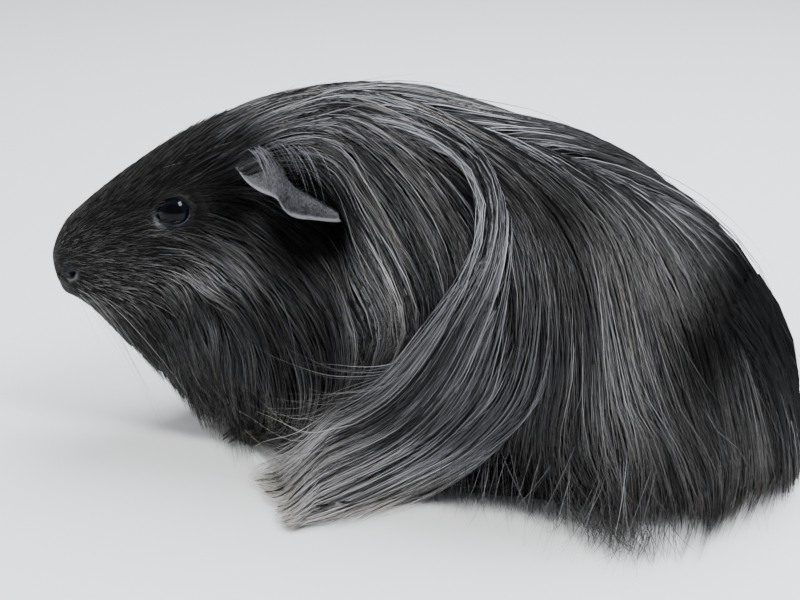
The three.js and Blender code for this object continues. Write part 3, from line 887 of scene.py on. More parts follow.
def lifted(track, side, reach, layer, spring, extra=0.0, sink=1.0):
    """Hair that leaves the hide and rises through the coat as it runs: its points and outward normals."""
    x, drop, run = track[..., 0], track[..., 1], track[..., 2]
    sides = np.broadcast_to(side[:, None], x.shape)
    under, coat = skin_point(x, drop, sides), coat_point(x, drop, sides)
    by_x, by_d = surface_steps(x, np.maximum(drop, 0.003), sides)
    normal = np.cross(by_x, by_d) * sides[..., None]
    normal = unit(normal + [0, 0, 1e-4])
    height = coat[..., 2]
    for hollow_side, hollow_x, hollow_z, long, tall, deep in EAR_HOLLOWS:
        hollow = np.exp(-(((x - hollow_x) / long) ** 2) - ((height - hollow_z) / tall) ** 2)
        sunk = (sides == hollow_side) * deep * hollow
        coat = coat - normal * (sunk * sink)[..., None]
    u = run / reach[:, None]
    rise = np.minimum((1 + spring) * u / (u + spring), 1.0) * layer[:, None]
    points = under + (coat - under) * rise[..., None] + normal * np.asarray(extra)[..., None]
    points[..., 2] = np.maximum(points[..., 2], HAIR_REST)
    return points, normal


def scattered(count, x_range, drop_range, density):
    """Roots spread evenly over the coat on both sides, thinned by density(x, drop, side)."""
    x = seeded.uniform(*x_range, count * 16)
    drop = seeded.uniform(*drop_range, count * 16)
    side = seeded.choice([LEFT, RIGHT], count * 16)
    by_x, by_d = surface_steps(x, drop, side)
    area = np.linalg.norm(np.cross(by_x, by_d), axis=1) * density(x, drop, side)
    keep = np.flatnonzero(seeded.uniform(0, 1, len(x)) < area / np.percentile(area, 98))[:count]
    return x[keep], drop[keep], side[keep]


def sweep_tree(name):
    """Every line of the mesh becomes a tapered, flattened hair with a patch of OFBake at its root."""
    tree = bpy.data.node_groups.new(name, "GeometryNodeTree")
    sockets = {
        "Geometry": "NodeSocketGeometry",
        "Sides": "NodeSocketInt",
        "Flatness": "NodeSocketFloat",
        "Patch": "NodeSocketFloat",
        "Material": "NodeSocketMaterial",
    }
    for key, kind in sockets.items():
        tree.interface.new_socket(key, in_out="INPUT", socket_type=kind)
    tree.interface.new_socket("Geometry", in_out="OUTPUT", socket_type="NodeSocketGeometry")

    def node(kind, inputs=None, **settings):
        return new_node(tree, kind, inputs, **settings)

    def named(key, kind):
        return node("GeometryNodeInputNamedAttribute", {"Name": key}, data_type=kind).outputs["Attribute"]

    given = node("NodeGroupInput").outputs
    curve = node("GeometryNodeMeshToCurve", {"Mesh": given["Geometry"]}).outputs["Curve"]
    faced = {"Curve": curve, "Normal": named("facing", "FLOAT_VECTOR")}
    curve = node("GeometryNodeSetCurveNormal", faced, mode="FREE").outputs["Curve"]
    round_about = {"Resolution": given["Sides"], "Radius": 1.0}
    circle = node("GeometryNodeCurvePrimitiveCircle", round_about).outputs["Curve"]
    place = node("GeometryNodeInputPosition").outputs["Position"]
    across = node("ShaderNodeSeparateXYZ", {"Vector": place}).outputs["X"]
    circle = node(
        "GeometryNodeStoreNamedAttribute", {"Geometry": circle, "Name": "across", "Value": across},
        data_type="FLOAT", domain="POINT",
    ).outputs["Geometry"]
    flat = node("ShaderNodeCombineXYZ", {"X": 1.0, "Y": given["Flatness"], "Z": 1.0}).outputs["Vector"]
    profile = node("GeometryNodeTransform", {"Geometry": circle, "Scale": flat}).outputs["Geometry"]
    mesh = node(
        "GeometryNodeCurveToMesh",
        {"Curve": curve, "Profile Curve": profile, "Scale": named("width", "FLOAT"), "Fill Caps": False},
    ).outputs["Mesh"]
    half = node("ShaderNodeMath", {0: named("across", "FLOAT"), 1: 0.5}, operation="MULTIPLY")
    on_hair = {"X": half.outputs["Value"], "Y": named("along", "FLOAT")}
    place_on = node("ShaderNodeCombineXYZ", on_hair).outputs["Vector"]
    patch = node("ShaderNodeVectorMath", {0: place_on, "Scale": given["Patch"]}, operation="SCALE")
    root_and_patch = {0: named("root", "FLOAT_VECTOR"), 1: patch.outputs["Vector"]}
    spot = node("ShaderNodeVectorMath", root_and_patch, operation="ADD").outputs["Vector"]
    mesh = node(
        "GeometryNodeStoreNamedAttribute", {"Geometry": mesh, "Name": "OFBake", "Value": spot},
        data_type="FLOAT2", domain="CORNER",
    ).outputs["Geometry"]
    mesh = node("GeometryNodeSetShadeSmooth", {"Geometry": mesh}).outputs["Geometry"]
    mesh = node("GeometryNodeRealizeInstances", {"Geometry": mesh}).outputs["Geometry"]
    coloured = node("GeometryNodeSetMaterial", {"Geometry": mesh, "Material": given["Material"]})
    node("NodeGroupOutput", {"Geometry": coloured.outputs["Geometry"]})
    return tree


hair_tree = sweep_tree("swept_hair")
PATCH = 0.003  # width of one hair's patch on the unwrap
# The sides and flatness of a short hair, a long one, a lock and a bundle of the heavy locks.
SHORT_SHAPE, HAIR_SHAPE, LOCK_SHAPE, BUNDLE_SHAPE = (3, 0.7), (3, 0.8), (4, 0.16), (4, 0.2)


def bake_root(x, drop, side):
    """Where a root lies on the unwrap of the hide: along the body, and round it from the spine."""
    around = 0.5 + side * (0.01 + 0.46 * np.clip(drop, 0, 1))
    return np.stack([0.02 + 0.96 * x / LENGTH, around, np.zeros_like(x)], -1)


def swept_hair(name, points, facing, width, tone, root, shape, material):
    """A piece of coat: a tapered hair or lock along each row of points, of a shape's sides and flatness."""
    count, steps = points.shape[:2]
    mesh = bpy.data.meshes.new(name + "_lines")
    start = np.arange(count * steps).reshape(count, steps)
    edges = np.stack([start[:, :-1], start[:, 1:]], -1).reshape(-1, 2)
    mesh.vertices.add(count * steps)
    mesh.edges.add(len(edges))
    mesh.vertices.foreach_set("co", placed(points).astype(np.float32).ravel())
    mesh.edges.foreach_set("vertices", edges.astype(np.int32).ravel())
    add_attributes(mesh, {
        "facing": unit(placed(points + facing * 0.5) - placed(points)),
        "root": np.broadcast_to(root[:, None], (count, steps, 3)),
        "width": width * MM / 2,
        "spread": width / 2,
        "along": np.broadcast_to(np.linspace(0, 1, steps), (count, steps)),
        "tone": np.broadcast_to(tone.reshape(count, -1), (count, steps)),
    })
    mesh.update()
    lines = bpy.data.objects.new(name + "_lines", mesh)
    bpy.context.scene.collection.objects.link(lines)
    modifier = lines.modifiers.new("sweep", "NODES")
    modifier.node_group = hair_tree
    given = {"Sides": shape[0], "Flatness": shape[1], "Patch": PATCH, "Material": material}
    for item in hair_tree.interface.items_tree:
        if item.in_out == "INPUT" and item.name in given:
            modifier[item.identifier] = given[item.name]
    made = bpy.data.meshes.new_from_object(lines.evaluated_get(bpy.context.evaluated_depsgraph_get()))
    made.name = name
    corners = np.empty(len(made.vertices) * 3, np.float32)
    made.vertices.foreach_get("co", corners)
    corners[2::3] = np.maximum(corners[2::3], 0.0001)
    made.vertices.foreach_set("co", corners)
    bpy.data.objects.remove(lines)
    bpy.data.meshes.remove(mesh)
    piece = new_piece(name, made, material)
    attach(piece, "root")
    return piece


def hair_material(name, roughness, dark, pale, tip, lines=0.0, specular=0.35):
    """Hair that runs from near black to a greyer tip, each with its own tone, and finely lined across."""
    material, shader = new_material(name, roughness, specular)
    along, tone = attribute(material, "along"), attribute(material, "tone")
    towards_tip = ranged(material, along, 0.45, 1.0)
    # The tone runs from dark to pale. On the coat it also carries the painted sheen and painted shade of its
    # patches.
    body = blend(material, tone, dark, pale)
    worn = blend(material, tone, dark, tip)
    normal = None
    if lines:
        sizes = {0: attribute(material, "across"), 1: attribute(material, "spread")}
        across = linked(material, "ShaderNodeMath", sizes, operation="MULTIPLY").outputs["Value"]
        inputs = {"X": across, "Y": along, "Z": tone}
        place = linked(material, "ShaderNodeCombineXYZ", inputs).outputs["Vector"]
        fine = noise(material, place, 1.0, 3.0, (lines, 0.9, 60.0))
        strands = ranged(material, fine, 0.42, 0.68)
        body = blend(material, strands, dark, body)
        worn = blend(material, strands, dark, worn)
        normal = bump(material, fine, 1.0, 0.0007)
    finished(material, shader, blend(material, towards_tip, body, worn), normal)
    return material


def taper(steps, root, middle, tip, peak=0.35):
    """Widths along a hair: up from the root to its middle, then down to the tip."""
    t = np.linspace(0, 1, steps)
    rise = root + (middle - root) * smooth_step(t, 0, peak)
    return (rise + (tip - rise) * smooth_step(t, peak, 1))[None]


# Grey hairs show through the black, more or fewer of them in each patch, and the patches paint light and
# shade into the coat as well: painted sheen over the crest, neck and cheeks, and painted shade under and
# behind the ears, in the pocket beside the forward lock and low under the belly. Each patch gives its x
# and height, its reach along and up, and its strength.
SILVER = 0.36
GREY_HAIR_SHEEN_AND_SHADE_PATCHES = (
    (100, 102, 32, 12, 0.82), (120, 79, 15, 15, 0.6), (153, 74, 5, 13, 0.3), (114, 58, 9, 13, 1.1),
    (43, 54, 14, 5.5, 1.6), (186, 42, 10, 26, 0.68), (138, 86, 6, 7, -0.4), (86, 71, 18, 9, -0.9),
    (54, 76, 8, 7, -0.35), (94, 82, 8, 5, -0.3), (75, 34, 28, 13, -0.1), (206, 56, 9, 18, -0.5),
    (155, 12, 14, 9, -0.25), (31, 67.5, 2.2, 1.8, 2.6), (37, 66.3, 5, 1.0, 1.0), (12, 43, 8, 4, 0.3),
    (52, 85, 10, 5, -0.25), (14, 57, 13, 10, 0.7), (80, 86, 7, 5, -0.6), (96, 60, 10, 12, 0.25),
    (60, 96, 10, 5, -0.3), (162, 84, 9, 9, -0.3), (21, 46, 9, 6, 1.1),
)


def grey_sheen_and_shade(x, z):
    """How much a hair's tone counts at x and a height. The more, the greyer the coat is there, with its
    painted sheen and painted shade.
    """
    grey = np.full(np.shape(x), SILVER)
    for patch_x, patch_z, long, tall, strength in GREY_HAIR_SHEEN_AND_SHADE_PATCHES:
        grey = grey + strength * np.exp(-(((x - patch_x) / long) ** 2) - ((z - patch_z) / tall) ** 2)
    return np.clip(grey, 0.02, 2.6)


def greyed_with_sheen_and_shade(tone, track, side):
    """The tone of each hair, point by point, as grey as the coat is there, painted sheen and shade included.
    """
    places = coat_point(track[..., 0], track[..., 1], np.broadcast_to(side[:, None], track.shape[:2]))
    return np.clip(tone[:, None] * grey_sheen_and_shade(track[..., 0], places[..., 2]), 0, 1)


FACE_HAIRS = 14500
FACE_STEPS = 3
face_length = smooth_line((0, 1.3), (6, 1.9), (20, 3.2), (36, 4.6), (50, 6.0), (70, 8.0))


def beyond_lids(roots, side, clearance):
    """Which roots are clear of the eye, and their place round it."""
    along, away, angle = eye_space(roots, side, FURLESS_LENGTH, FURLESS_HEIGHT)
    return (away > opening(angle) + clearance) | (along < 0), along, away, angle


def face_density(x, drop, side):
    """Thickest on the muzzle, none on the nose leather or the eye, and gone where the coat grows long."""
    roots = skin_point(x, drop, side)
    clear, along, away, angle = beyond_lids(roots, side, 0.1)
    patch = np.exp(-((turn_from(angle, LID_PATCH) / 0.45) ** 2) - ((away - 1.4) / 0.3) ** 2)
    clear = clear * (1 - 0.7 * (along > 0) * patch)
    from_nostril = np.hypot(*nostril_space(roots))
    leather = (x < 3) & (np.abs(roots[:, 1]) < 3.4) & (roots[:, 2] > 46) & (roots[:, 2] < 57)
    nose = leather | ((x < 12) & (from_nostril < 1.7))
    return clear * ~nose * (1 - smooth_step(x, 48, 66)) * (1.35 - 0.7 * smooth_step(x, 8, 40))


face_x, face_drop, face_side = scattered(FACE_HAIRS, (0.8, 66), (0.0, 1.0), face_density)
face_run = face_length(face_x) * seeded.uniform(0.75, 1.25, len(face_x))
face_run *= 1 + 0.8 * smooth_step(face_drop, 0.5, 0.9)
face_track = combed_paths(face_x, face_drop, face_side, face_run, FACE_STEPS - 1, wander=0.0)
face_depth = depth_top(face_x) + (depth_side(face_x) - depth_top(face_x)) * smooth_step(face_drop, 0.1, 0.4)
face_layer = np.minimum(seeded.uniform(0.7, 1.2, len(face_x)), 0.27 * face_run / face_depth)
face_points, face_normal = lifted(face_track, face_side, face_run * 1.05, face_layer, 1.2)
sides = np.broadcast_to(face_side[:, None], face_track.shape[:2])
under_hair = skin_point(face_track[..., 0], face_track[..., 1], sides)
for side in (LEFT, RIGHT):
    face_points += lid_rise(under_hair, side)[..., None] * (EYE_AXIS * [1, side, 1])
face_sway = seeded.normal(0, 0.14, (len(face_x), 1, 1)) * face_run[:, None, None]
face_across = unit(np.cross(np.gradient(face_points, axis=1), face_normal))
face_points += face_across * face_sway * np.linspace(0, 1, FACE_STEPS)[None, :, None]
face_width = taper(FACE_STEPS, 0.28, 0.24, 0.06, peak=0.4) * seeded.uniform(0.7, 1.2, (len(face_x), 1))
# Each face hair's tone carries the painted sheen of the cheek and the painted shade by the ear, with its
# grey.
face_tone = greyed_with_sheen_and_shade(seeded.beta(1.0, 2.2, len(face_x)), face_track, face_side)
# The pale tip colour is bright so that the painted sheen on the cheeks shows as a highlight.
fur_finish = hair_material(
    "short_black_fur", 0.42, (0.002, 0.002, 0.0022), (0.21, 0.2, 0.19), (0.46, 0.455, 0.45), specular=0.18
)
for side, side_name in SIDES:
    on = face_side == side
    swept_hair("face_fur_" + side_name, face_points[on], face_normal[on], face_width[on], face_tone[on],
               bake_root(face_x, face_drop, face_side)[on], SHORT_SHAPE, fur_finish)

# Pale down on both sides of each ear, lying towards its edge.
DOWN_HAIRS = 1100
down_finish = hair_material(
    "pale_ear_down", 0.5, (0.006, 0.006, 0.007), (0.38, 0.385, 0.42), (0.44, 0.445, 0.47), specular=0.2
)
for side, side_name in SIDES:
    row = seeded.integers(3, EAR_ROWS - 7, DOWN_HAIRS)
    line = seeded.integers(6, EAR_LINES - 6, DOWN_HAIRS)
    behind = seeded.uniform(0, 1, DOWN_HAIRS) < 0.4
    face_sign = np.where(behind, -1, 1)[:, None]
    start = np.where(behind[:, None], ear_back[row, line], ear_sheet[row, line])
    lie = along_ear[row, line] + 0.6 * unit(across_ear[row, line])
    lie = unit(lie + seeded.normal(0, 0.25, (DOWN_HAIRS, 3)))[:, None]
    run = seeded.uniform(0.8, 2.0, DOWN_HAIRS)[:, None, None]
    t = np.linspace(0, 1, 3)[None, :, None]
    out = (ear_normal[row, line] * face_sign)[:, None]
    points = on_side(start[:, None] + lie * run * t + out * (0.3 * t * (1.3 - t) * run - 0.03), side)
    facing = np.broadcast_to(out * [1, side, 1], points.shape)
    width = taper(3, 0.14, 0.12, 0.04) * np.ones((DOWN_HAIRS, 1))
    around = 0.5 + side * (0.12 + 0.05 * line / EAR_LINES)
    root = np.stack([0.05 + 0.3 * row / EAR_ROWS, around, 0 * row], -1)
    # The down is greyest over the front of the ear, where its skin has a painted highlight too, and half as
    # grey towards the tip as painted shade.
    tone = 0.7 * seeded.beta(0.7, 1.6, DOWN_HAIRS) * (1 - 0.5 * smooth_step(row / EAR_ROWS, 0.35, 0.6))
    swept_hair("ear_down_" + side_name, points, facing, width, tone, root, SHORT_SHAPE, down_finish)

# Pale tufts from above each ear's root: a short bright one lies on the ear, and a few strands hang over
# its cup.
TUFT_HAIRS, STRAND_HAIRS, TUFT_STEPS = 70, 26, 7
for side, side_name in SIDES:
    count = TUFT_HAIRS + STRAND_HAIRS
    strand = np.arange(count) >= TUFT_HAIRS
    at = seeded.uniform(0, 1, count)
    start = np.array([60.0, 21.5, 90.3]) + at[:, None] * [4.5, 0.6, 0.4]
    start = np.where(strand[:, None], np.array([66.0, 21.5, 93.0]) + at[:, None] * [16.0, 5.0, -0.5], start)
    start = start + seeded.normal(0, 0.8, (count, 3))
    run = np.where(strand, seeded.uniform(11, 19, count), seeded.uniform(5, 12, count))[:, None, None]
    t = np.linspace(0, 1, TUFT_STEPS)[None, :, None]
    lie = unit(np.array([0.85, 0.42, -0.25]) + seeded.normal(0, 0.16, (count, 3)))[:, None]
    points = start[:, None] + lie * run * t + np.array([-0.12, 0.15, -0.42]) * run * t**1.7
    points = on_side(points, side)
    facing = np.broadcast_to(EAR_OUT * [1, side, 1], points.shape)
    width = taper(TUFT_STEPS, 0.16, 0.15, 0.04) * seeded.uniform(0.7, 1.2, (count, 1))
    root = bake_root(start[:, 0], 0.28 + 0 * at, np.full(count, side))
    swept_hair("ear_tufts_" + side_name, points, facing, width, seeded.beta(1.2, 1.0, count), root,
               HAIR_SHAPE, down_finish)

# Short fur on the feet, down to the toes.
FOOT_HAIRS = 700
for foot, foot_name in ((FOREFOOT, "fore"), (HINDFOOT, "hind")):
    for side, side_name in SIDES:
        turn = seeded.uniform(0.12, 0.88, FOOT_HAIRS) * math.pi
        at = seeded.uniform(-0.55, 0.5, FOOT_HAIRS) * foot["length"]
        over_toes = 1 - 0.5 * (at < -0.35 * foot["length"])
        start_y = foot["y"] + np.cos(turn) * foot["width"] * 0.36
        start_z = foot["height"] * (0.25 + 0.6 * np.sin(turn) * over_toes)
        start = np.stack([foot["x"] + at, start_y, start_z], -1)
        out = unit(np.stack([0 * turn, np.cos(turn), np.sin(turn)], -1))[:, None]
        lie = unit(np.array([-1.0, 0, -0.12]) + seeded.normal(0, 0.15, (FOOT_HAIRS, 3)))[:, None]
        run = seeded.uniform(2.2, 4.2, FOOT_HAIRS)[:, None, None]
        t = np.linspace(0, 1, 3)[None, :, None]
        points = (start[:, None] + lie * run * t + out * (0.5 * t * (1.2 - t) * run - 0.5)) * [1, side, 1]
        points[..., 2] = np.maximum(points[..., 2], HAIR_REST)
        facing = np.broadcast_to(out * [1, side, 1], points.shape)
        width = taper(3, 0.32, 0.28, 0.08) * np.ones((FOOT_HAIRS, 1))
        root = bake_root(start[:, 0], 0.8 + 0.15 * turn / math.pi, np.full(FOOT_HAIRS, side))
        tone = seeded.beta(1.1, 5.0, FOOT_HAIRS)
        swept_hair(foot_name + "foot_fur_" + side_name, points, facing, width, tone, root, SHORT_SHAPE,
                   fur_finish)

# ---- Locks of the long coat ----------------------------------------------------------------------
# Silky hair up to 13 cm long, swept back from the face and falling round the body to the floor. Under
# the loose hairs lie the locks that they gather in, each a flat bundle drawn out to a point.
top_length = smooth_line(
    (0, 2), (20, 4), (34, 7), (44, 12), (52, 24), (60, 46), (72, 85), (90, 118), (140, 115), (224, 95)
)
side_length = smooth_line(
    (0, 2), (14, 4), (24, 9), (34, 16), (46, 25), (58, 33), (72, 46), (84, 74), (100, 100), (150, 98),
    (224, 75),
)
LOCKS = 1700
LOCK_STEPS = 12
SPRING = 0.13  # the smaller it is, the nearer its root a long hair rises through the coat


def hair_length(x, drop):
    """Longest from the spine, shorter from the cheeks and flanks."""
    return top_length(x) + (side_length(x) - top_length(x)) * smooth_step(drop, 0.1, 0.42)


def coat_density(x, drop, side):
    """Even over the body, closer on the cheeks where the hair is shorter, thin under the belly."""
    clear = beyond_lids(skin_point(x, drop, side), side, 0.9)[0]
    cheek = 1 + 1.6 * smooth_step(-x, -74, -40)
    parted = smooth_step(x, 122, 134) * smooth_step(-x, -190, -172) * smooth_step(drop, 0.5, 0.7)
    lower = 1 - 0.8 * smooth_step(drop, 0.5, 0.8) * smooth_step(x, 58, 80) + 2.0 * parted
    return clear * smooth_step(x, 20 + 22 * smooth_step(-drop, -0.4, -0.1), 58) * cheek * lower


PROBE_LENGTH, PROBE_STEPS = 180.0, 60
NEVER = 1e3  # a length longer than any hair


def trimmed(x, drop, side, length):
    """Hair is cut where it would reach far over the floor."""
    probe = combed_paths(x, drop, side, np.full(len(x), PROBE_LENGTH), PROBE_STEPS, wander=0.0)
    down = probe[..., 1] >= 1.0
    first_down = down.argmax(1)
    to_floor = np.where(down.any(1), first_down * PROBE_LENGTH / PROBE_STEPS, NEVER)
    lands = probe[np.arange(len(x)), first_down, 0]
    forward = (side == LEFT) * (1 - smooth_step(lands, 112, 130))
    spill = 3 + 8 * forward + 11 * smooth_step(lands, 145, 175)
    hung = np.where((side == LEFT) & (lands > 124) & (lands < 150), 2.0, 0.0)
    ragged = seeded.uniform(-0.8, 1.0, len(x)) + np.maximum(seeded.normal(-0.8, 1.0, len(x)), 0)
    return np.minimum(length, to_floor + hung + spill * ragged)


lock_x, lock_drop, lock_side = scattered(LOCKS, (20, 222), (0.0, 0.97), coat_density)
lock_length = hair_length(lock_x, lock_drop) * seeded.uniform(0.75, 1.08, len(lock_x))
lock_length = np.maximum(trimmed(lock_x, lock_drop, lock_side, lock_length), 5)
lock_track = combed_paths(lock_x, lock_drop, lock_side, lock_length, LOCK_STEPS - 1, wander=0.09)
lock_layer = seeded.uniform(0.68, 0.9, len(lock_x))
lock_reach = np.maximum(lock_length, 90.0 * np.clip((lock_x - 20) / 55, 0.12, 1))
lock_points, lock_normal = lifted(lock_track, lock_side, lock_reach, lock_layer, SPRING)
lock_tone = seeded.beta(1.1, 1.8, len(lock_x))
# The locks' tone carries the painted sheen and shade of the coat's patches, with their grey.
lock_grey_sheen_and_shade = greyed_with_sheen_and_shade(0.25 + 0.75 * lock_tone, lock_track, lock_side)
lock_scale = seeded.uniform(0.8, 1.3, len(lock_x)) * np.clip(lock_length / 70, 0.26, 1.0)
lock_width = taper(LOCK_STEPS, 1.4, 4.0, 0.3) * lock_scale[:, None]
lock_width = lock_width * smooth_step(lock_points[..., 2], -0.5, 7)
lock_root = bake_root(lock_x, lock_drop, lock_side)
lock_finish = hair_material(
    "black_lock", 0.36, (0.002, 0.002, 0.0022), (0.3, 0.303, 0.318), (0.33, 0.31, 0.285),
    lines=4.0, specular=0.22,
)


def shares_of(x, side, parts):
    """The coat's left and right, each cut along the body into parts of even number."""
    for s, side_name in SIDES:
        order = np.flatnonzero(side == s)
        order = order[np.argsort(x[order], kind="stable")]
        for part, chosen in zip(parts, np.array_split(order, len(parts))):
            yield part + "_" + side_name, chosen


for region, chosen in shares_of(lock_x, lock_side, ("front", "back")):
    swept_hair("locks_" + region, lock_points[chosen], lock_normal[chosen], lock_width[chosen],
               lock_grey_sheen_and_shade[chosen], lock_root[chosen], LOCK_SHAPE, lock_finish)

# ---- Loose hairs of the long coat ----------------------------------------------------------------
# The single hairs, or a few stuck together. Each grows from its own root and draws in to the tip of the
# nearest lock.
HAIRS = 19000
HAIR_STEPS = 10
CHEEK_STEPS = 6
CHEEK_HAIR = 32.0  # hair shorter than this is a cheek's
STRAND_WIDTHS = (0.28, 0.34, 0.06)  # of the heavier hair at the rump and in the forward lock
hair_finish = hair_material(
    "black_hair", 0.3, (0.0025, 0.0025, 0.0028), (0.56, 0.565, 0.595), (0.56, 0.525, 0.475), specular=0.3
)
hair_x, hair_drop, hair_side = scattered(HAIRS, (20, 222), (0.0, 0.97), coat_density)


def nearest_lock(x, drop, side):
    """The lock whose root is nearest, on the same side."""
    roots = coat_point(x, drop, side)
    cores = coat_point(lock_x, lock_drop, lock_side)
    owner = np.empty(len(x), int)
    for part in np.array_split(np.arange(len(x)), 40):
        across = side[part][:, None] != lock_side[None]
        gap = ((roots[part][:, None] - cores[None]) ** 2).sum(-1) + NEVER**2 * across
        owner[part] = gap.argmin(1)
    return owner


owner = nearest_lock(hair_x, hair_drop, hair_side)
hair_length_now = lock_length[owner] * seeded.uniform(0.72, 1.0, len(owner))


def loose_hairs(chosen, steps, name, parts, width):
    """The chosen hairs: each leaves its root along the comb, and is drawn in to its lock as it runs."""
    own = owner[chosen]
    x, drop, side, length = hair_x[chosen], hair_drop[chosen], hair_side[chosen], hair_length_now[chosen]
    track = combed_paths(x, drop, side, length, steps - 1, wander=0.06 + 0.08 * smooth_step(x, 140, 190))
    layer = np.minimum(lock_layer[own] + seeded.uniform(-0.05, 0.17, len(own)), 1.0)
    bridging = np.where(seeded.uniform(0, 1, (len(own), 1)) < 0.05, 0.1, 1.0)
    points, normal = lifted(track, side, lock_reach[own], layer, SPRING, sink=bridging)
    along = np.linspace(0, 1, steps)[None] * np.ones((len(own), 1))
    at = along * (length / lock_length[own])[:, None] * (LOCK_STEPS - 1)
    low = np.minimum(at.astype(int), LOCK_STEPS - 2)
    part = (at - low)[..., None]
    core = lock_points[own[:, None], low] * (1 - part) + lock_points[own[:, None], low + 1] * part
    over = normal * (0.1 + 0.72 * lock_scale[own])[:, None, None]
    draw = (0.72 * along**1.6 * (bridging > 0.5))[..., None]
    points = points * (1 - draw) + (core + over) * draw
    tangent = unit(np.gradient(points, axis=1))
    aside = unit(np.cross(tangent, normal))
    phase = seeded.uniform(0, 2 * math.pi, (len(own), 2))
    curl = 0.22 * np.sin(2 * math.pi * 1.2 * along + phase[:, :1]) * along
    rise = 0.2 * np.sin(2 * math.pi * 0.9 * along + phase[:, 1:]) * along
    sway = seeded.normal(0, 0.8, len(own))[:, None] * smooth_step(along, 0.05, 0.5) * (1 - 0.6 * along)
    astray = np.where(seeded.uniform(0, 1, len(own)) < 0.09, seeded.normal(0, 5, len(own)), 0)
    astray = astray[:, None] * along**2
    size = np.clip(length / 60, 0.2, 1)[:, None]
    points += aside * ((curl + sway + astray) * size)[..., None]
    points += normal * ((rise + np.abs(astray) * 0.7) * size)[..., None]
    points[..., 2] = np.maximum(points[..., 2], HAIR_REST)
    widths = taper(steps, *width) * seeded.uniform(0.6, 1.3, (len(own), 1))
    # Each hair's tone carries the painted sheen and shade of the coat's patches, with its grey.
    tone = greyed_with_sheen_and_shade(0.25 * lock_tone[own] + seeded.beta(0.8, 1.6, len(own)), track, side)
    root = bake_root(x, drop, side)
    for region, some in shares_of(x, side, parts):
        swept_hair(name + region, points[some], normal[some], widths[some], tone[some], root[some],
                   HAIR_SHAPE, hair_finish)


short_ones = hair_length_now < CHEEK_HAIR
loose_hairs(np.flatnonzero(short_ones), CHEEK_STEPS, "cheek_hair_", ("front", "back"), (0.22, 0.24, 0.05))
loose_hairs(np.flatnonzero(~short_ones), HAIR_STEPS, "hair_", ("mane", "flank", "rump"), (0.3, 0.34, 0.06))


def arced(start, bend, end, steps):
    """Hair along a simple curve from each start to each end, drawn towards its bend."""
    t = np.linspace(0, 1, steps)[None, :, None]
    points = start[:, None] * (1 - t) ** 2 + 2 * bend[:, None] * t * (1 - t) + end[:, None] * t**2
    points[..., 2] = np.maximum(points[..., 2], HAIR_REST)
    return points


# A thin fringe hangs over each hind foot, and a few longer hairs of it trail on the floor.
FRINGE_HAIRS, FRINGE_STEPS = 420, 7


def fringe_draw(long_one, long_range, short_range):
    """A value for each hair of a fringe, drawn from one range for its long ones and another for the rest."""
    long_draw = seeded.uniform(*long_range, FRINGE_HAIRS)
    return np.where(long_one, long_draw, seeded.uniform(*short_range, FRINGE_HAIRS))


for side, side_name in SIDES:
    at = seeded.uniform(124, 200, FRINGE_HAIRS)
    long_one = seeded.uniform(0, 1, FRINGE_HAIRS) < 0.13
    drop = fringe_draw(long_one, (0.62, 0.78), (0.8, 0.95))
    start = coat_point(at, drop, np.full(FRINGE_HAIRS, side))
    start[:, 1] -= side * np.where(long_one, 4.0, 5.0)
    out = coat_half(at) + hem_flare[side](at) + fringe_draw(long_one, (0, 17), (-5, 5))
    end_x = at + seeded.normal(2, np.where(long_one, 6, 3))
    end = np.stack([end_x, side * np.minimum(out, WIDEST - 2), seeded.uniform(0.4, 1.6, FRINGE_HAIRS)], -1)
    bend = start * [0.6, 0.4, 0.4] + end * [0.4, 0.6, 0.6] + seeded.normal(0, 1.2, (FRINGE_HAIRS, 3))
    points = arced(start, bend, end, FRINGE_STEPS)
    facing = np.broadcast_to(unit(np.array([0.0, side * 0.8, 0.6])), points.shape)
    width = taper(FRINGE_STEPS, 0.24, 0.22, 0.05) * seeded.uniform(0.6, 1.2, (FRINGE_HAIRS, 1))
    tone = fringe_draw(long_one, (0.02, 0.4), (0, 0.08))
    root = bake_root(at, drop, np.full(FRINGE_HAIRS, side))
    swept_hair("fringe_" + side_name, points, facing, width, tone, root, HAIR_SHAPE, hair_finish)

# The hair of the rump closes behind the hind feet in one short fall down the middle.
FALL_LOCKS, FALL_HAIRS, FALL_STEPS = 26, 900, 6
fall_count = FALL_LOCKS + FALL_HAIRS
is_lock = np.arange(fall_count) < FALL_LOCKS
fall_side = seeded.choice([LEFT, RIGHT], fall_count)
fall_x, fall_drop = seeded.uniform(207, 221, fall_count), seeded.uniform(0.0, 0.16, fall_count)
start = coat_point(fall_x, fall_drop, fall_side) - [1.2, 0, 1.2]
reach = np.abs(seeded.normal(0, 7, fall_count))
end_x, end_z = seeded.normal(223.5, 1.0, fall_count), seeded.uniform(0.4, 1.8, fall_count)
end = np.stack([end_x, fall_side * reach, end_z], -1)
bend = start * [0.15, 0.6, 0.62] + end * [0.85, 0.4, 0.38] + [1.2, 0, 0]
bend = bend + seeded.normal(0, 0.6, (fall_count, 3))
points = arced(start, bend, end, FALL_STEPS)
facing = np.broadcast_to(unit(np.array([1.0, 0.0, 0.3])), points.shape)
# The fall's tone is greyed by the coat's patches, painted sheen and shade among them.
tone = seeded.beta(0.8, 1.6, fall_count) * grey_sheen_and_shade(fall_x, start[:, 2])
fall_root = bake_root(fall_x, fall_drop, fall_side)
fall_width = seeded.uniform(0.6, 1.3, (fall_count, 1))
for name, chosen, shape, width, finish in (
    ("rump_locks", is_lock, BUNDLE_SHAPE, (1.6, 3.4, 0.3), lock_finish),
    ("rump_hair", ~is_lock, HAIR_SHAPE, STRAND_WIDTHS, hair_finish),
):
    widths = taper(FALL_STEPS, *width) * fall_width[chosen]
    swept_hair(name, points[chosen], facing[chosen], widths, tone[chosen], fall_root[chosen], shape, finish)

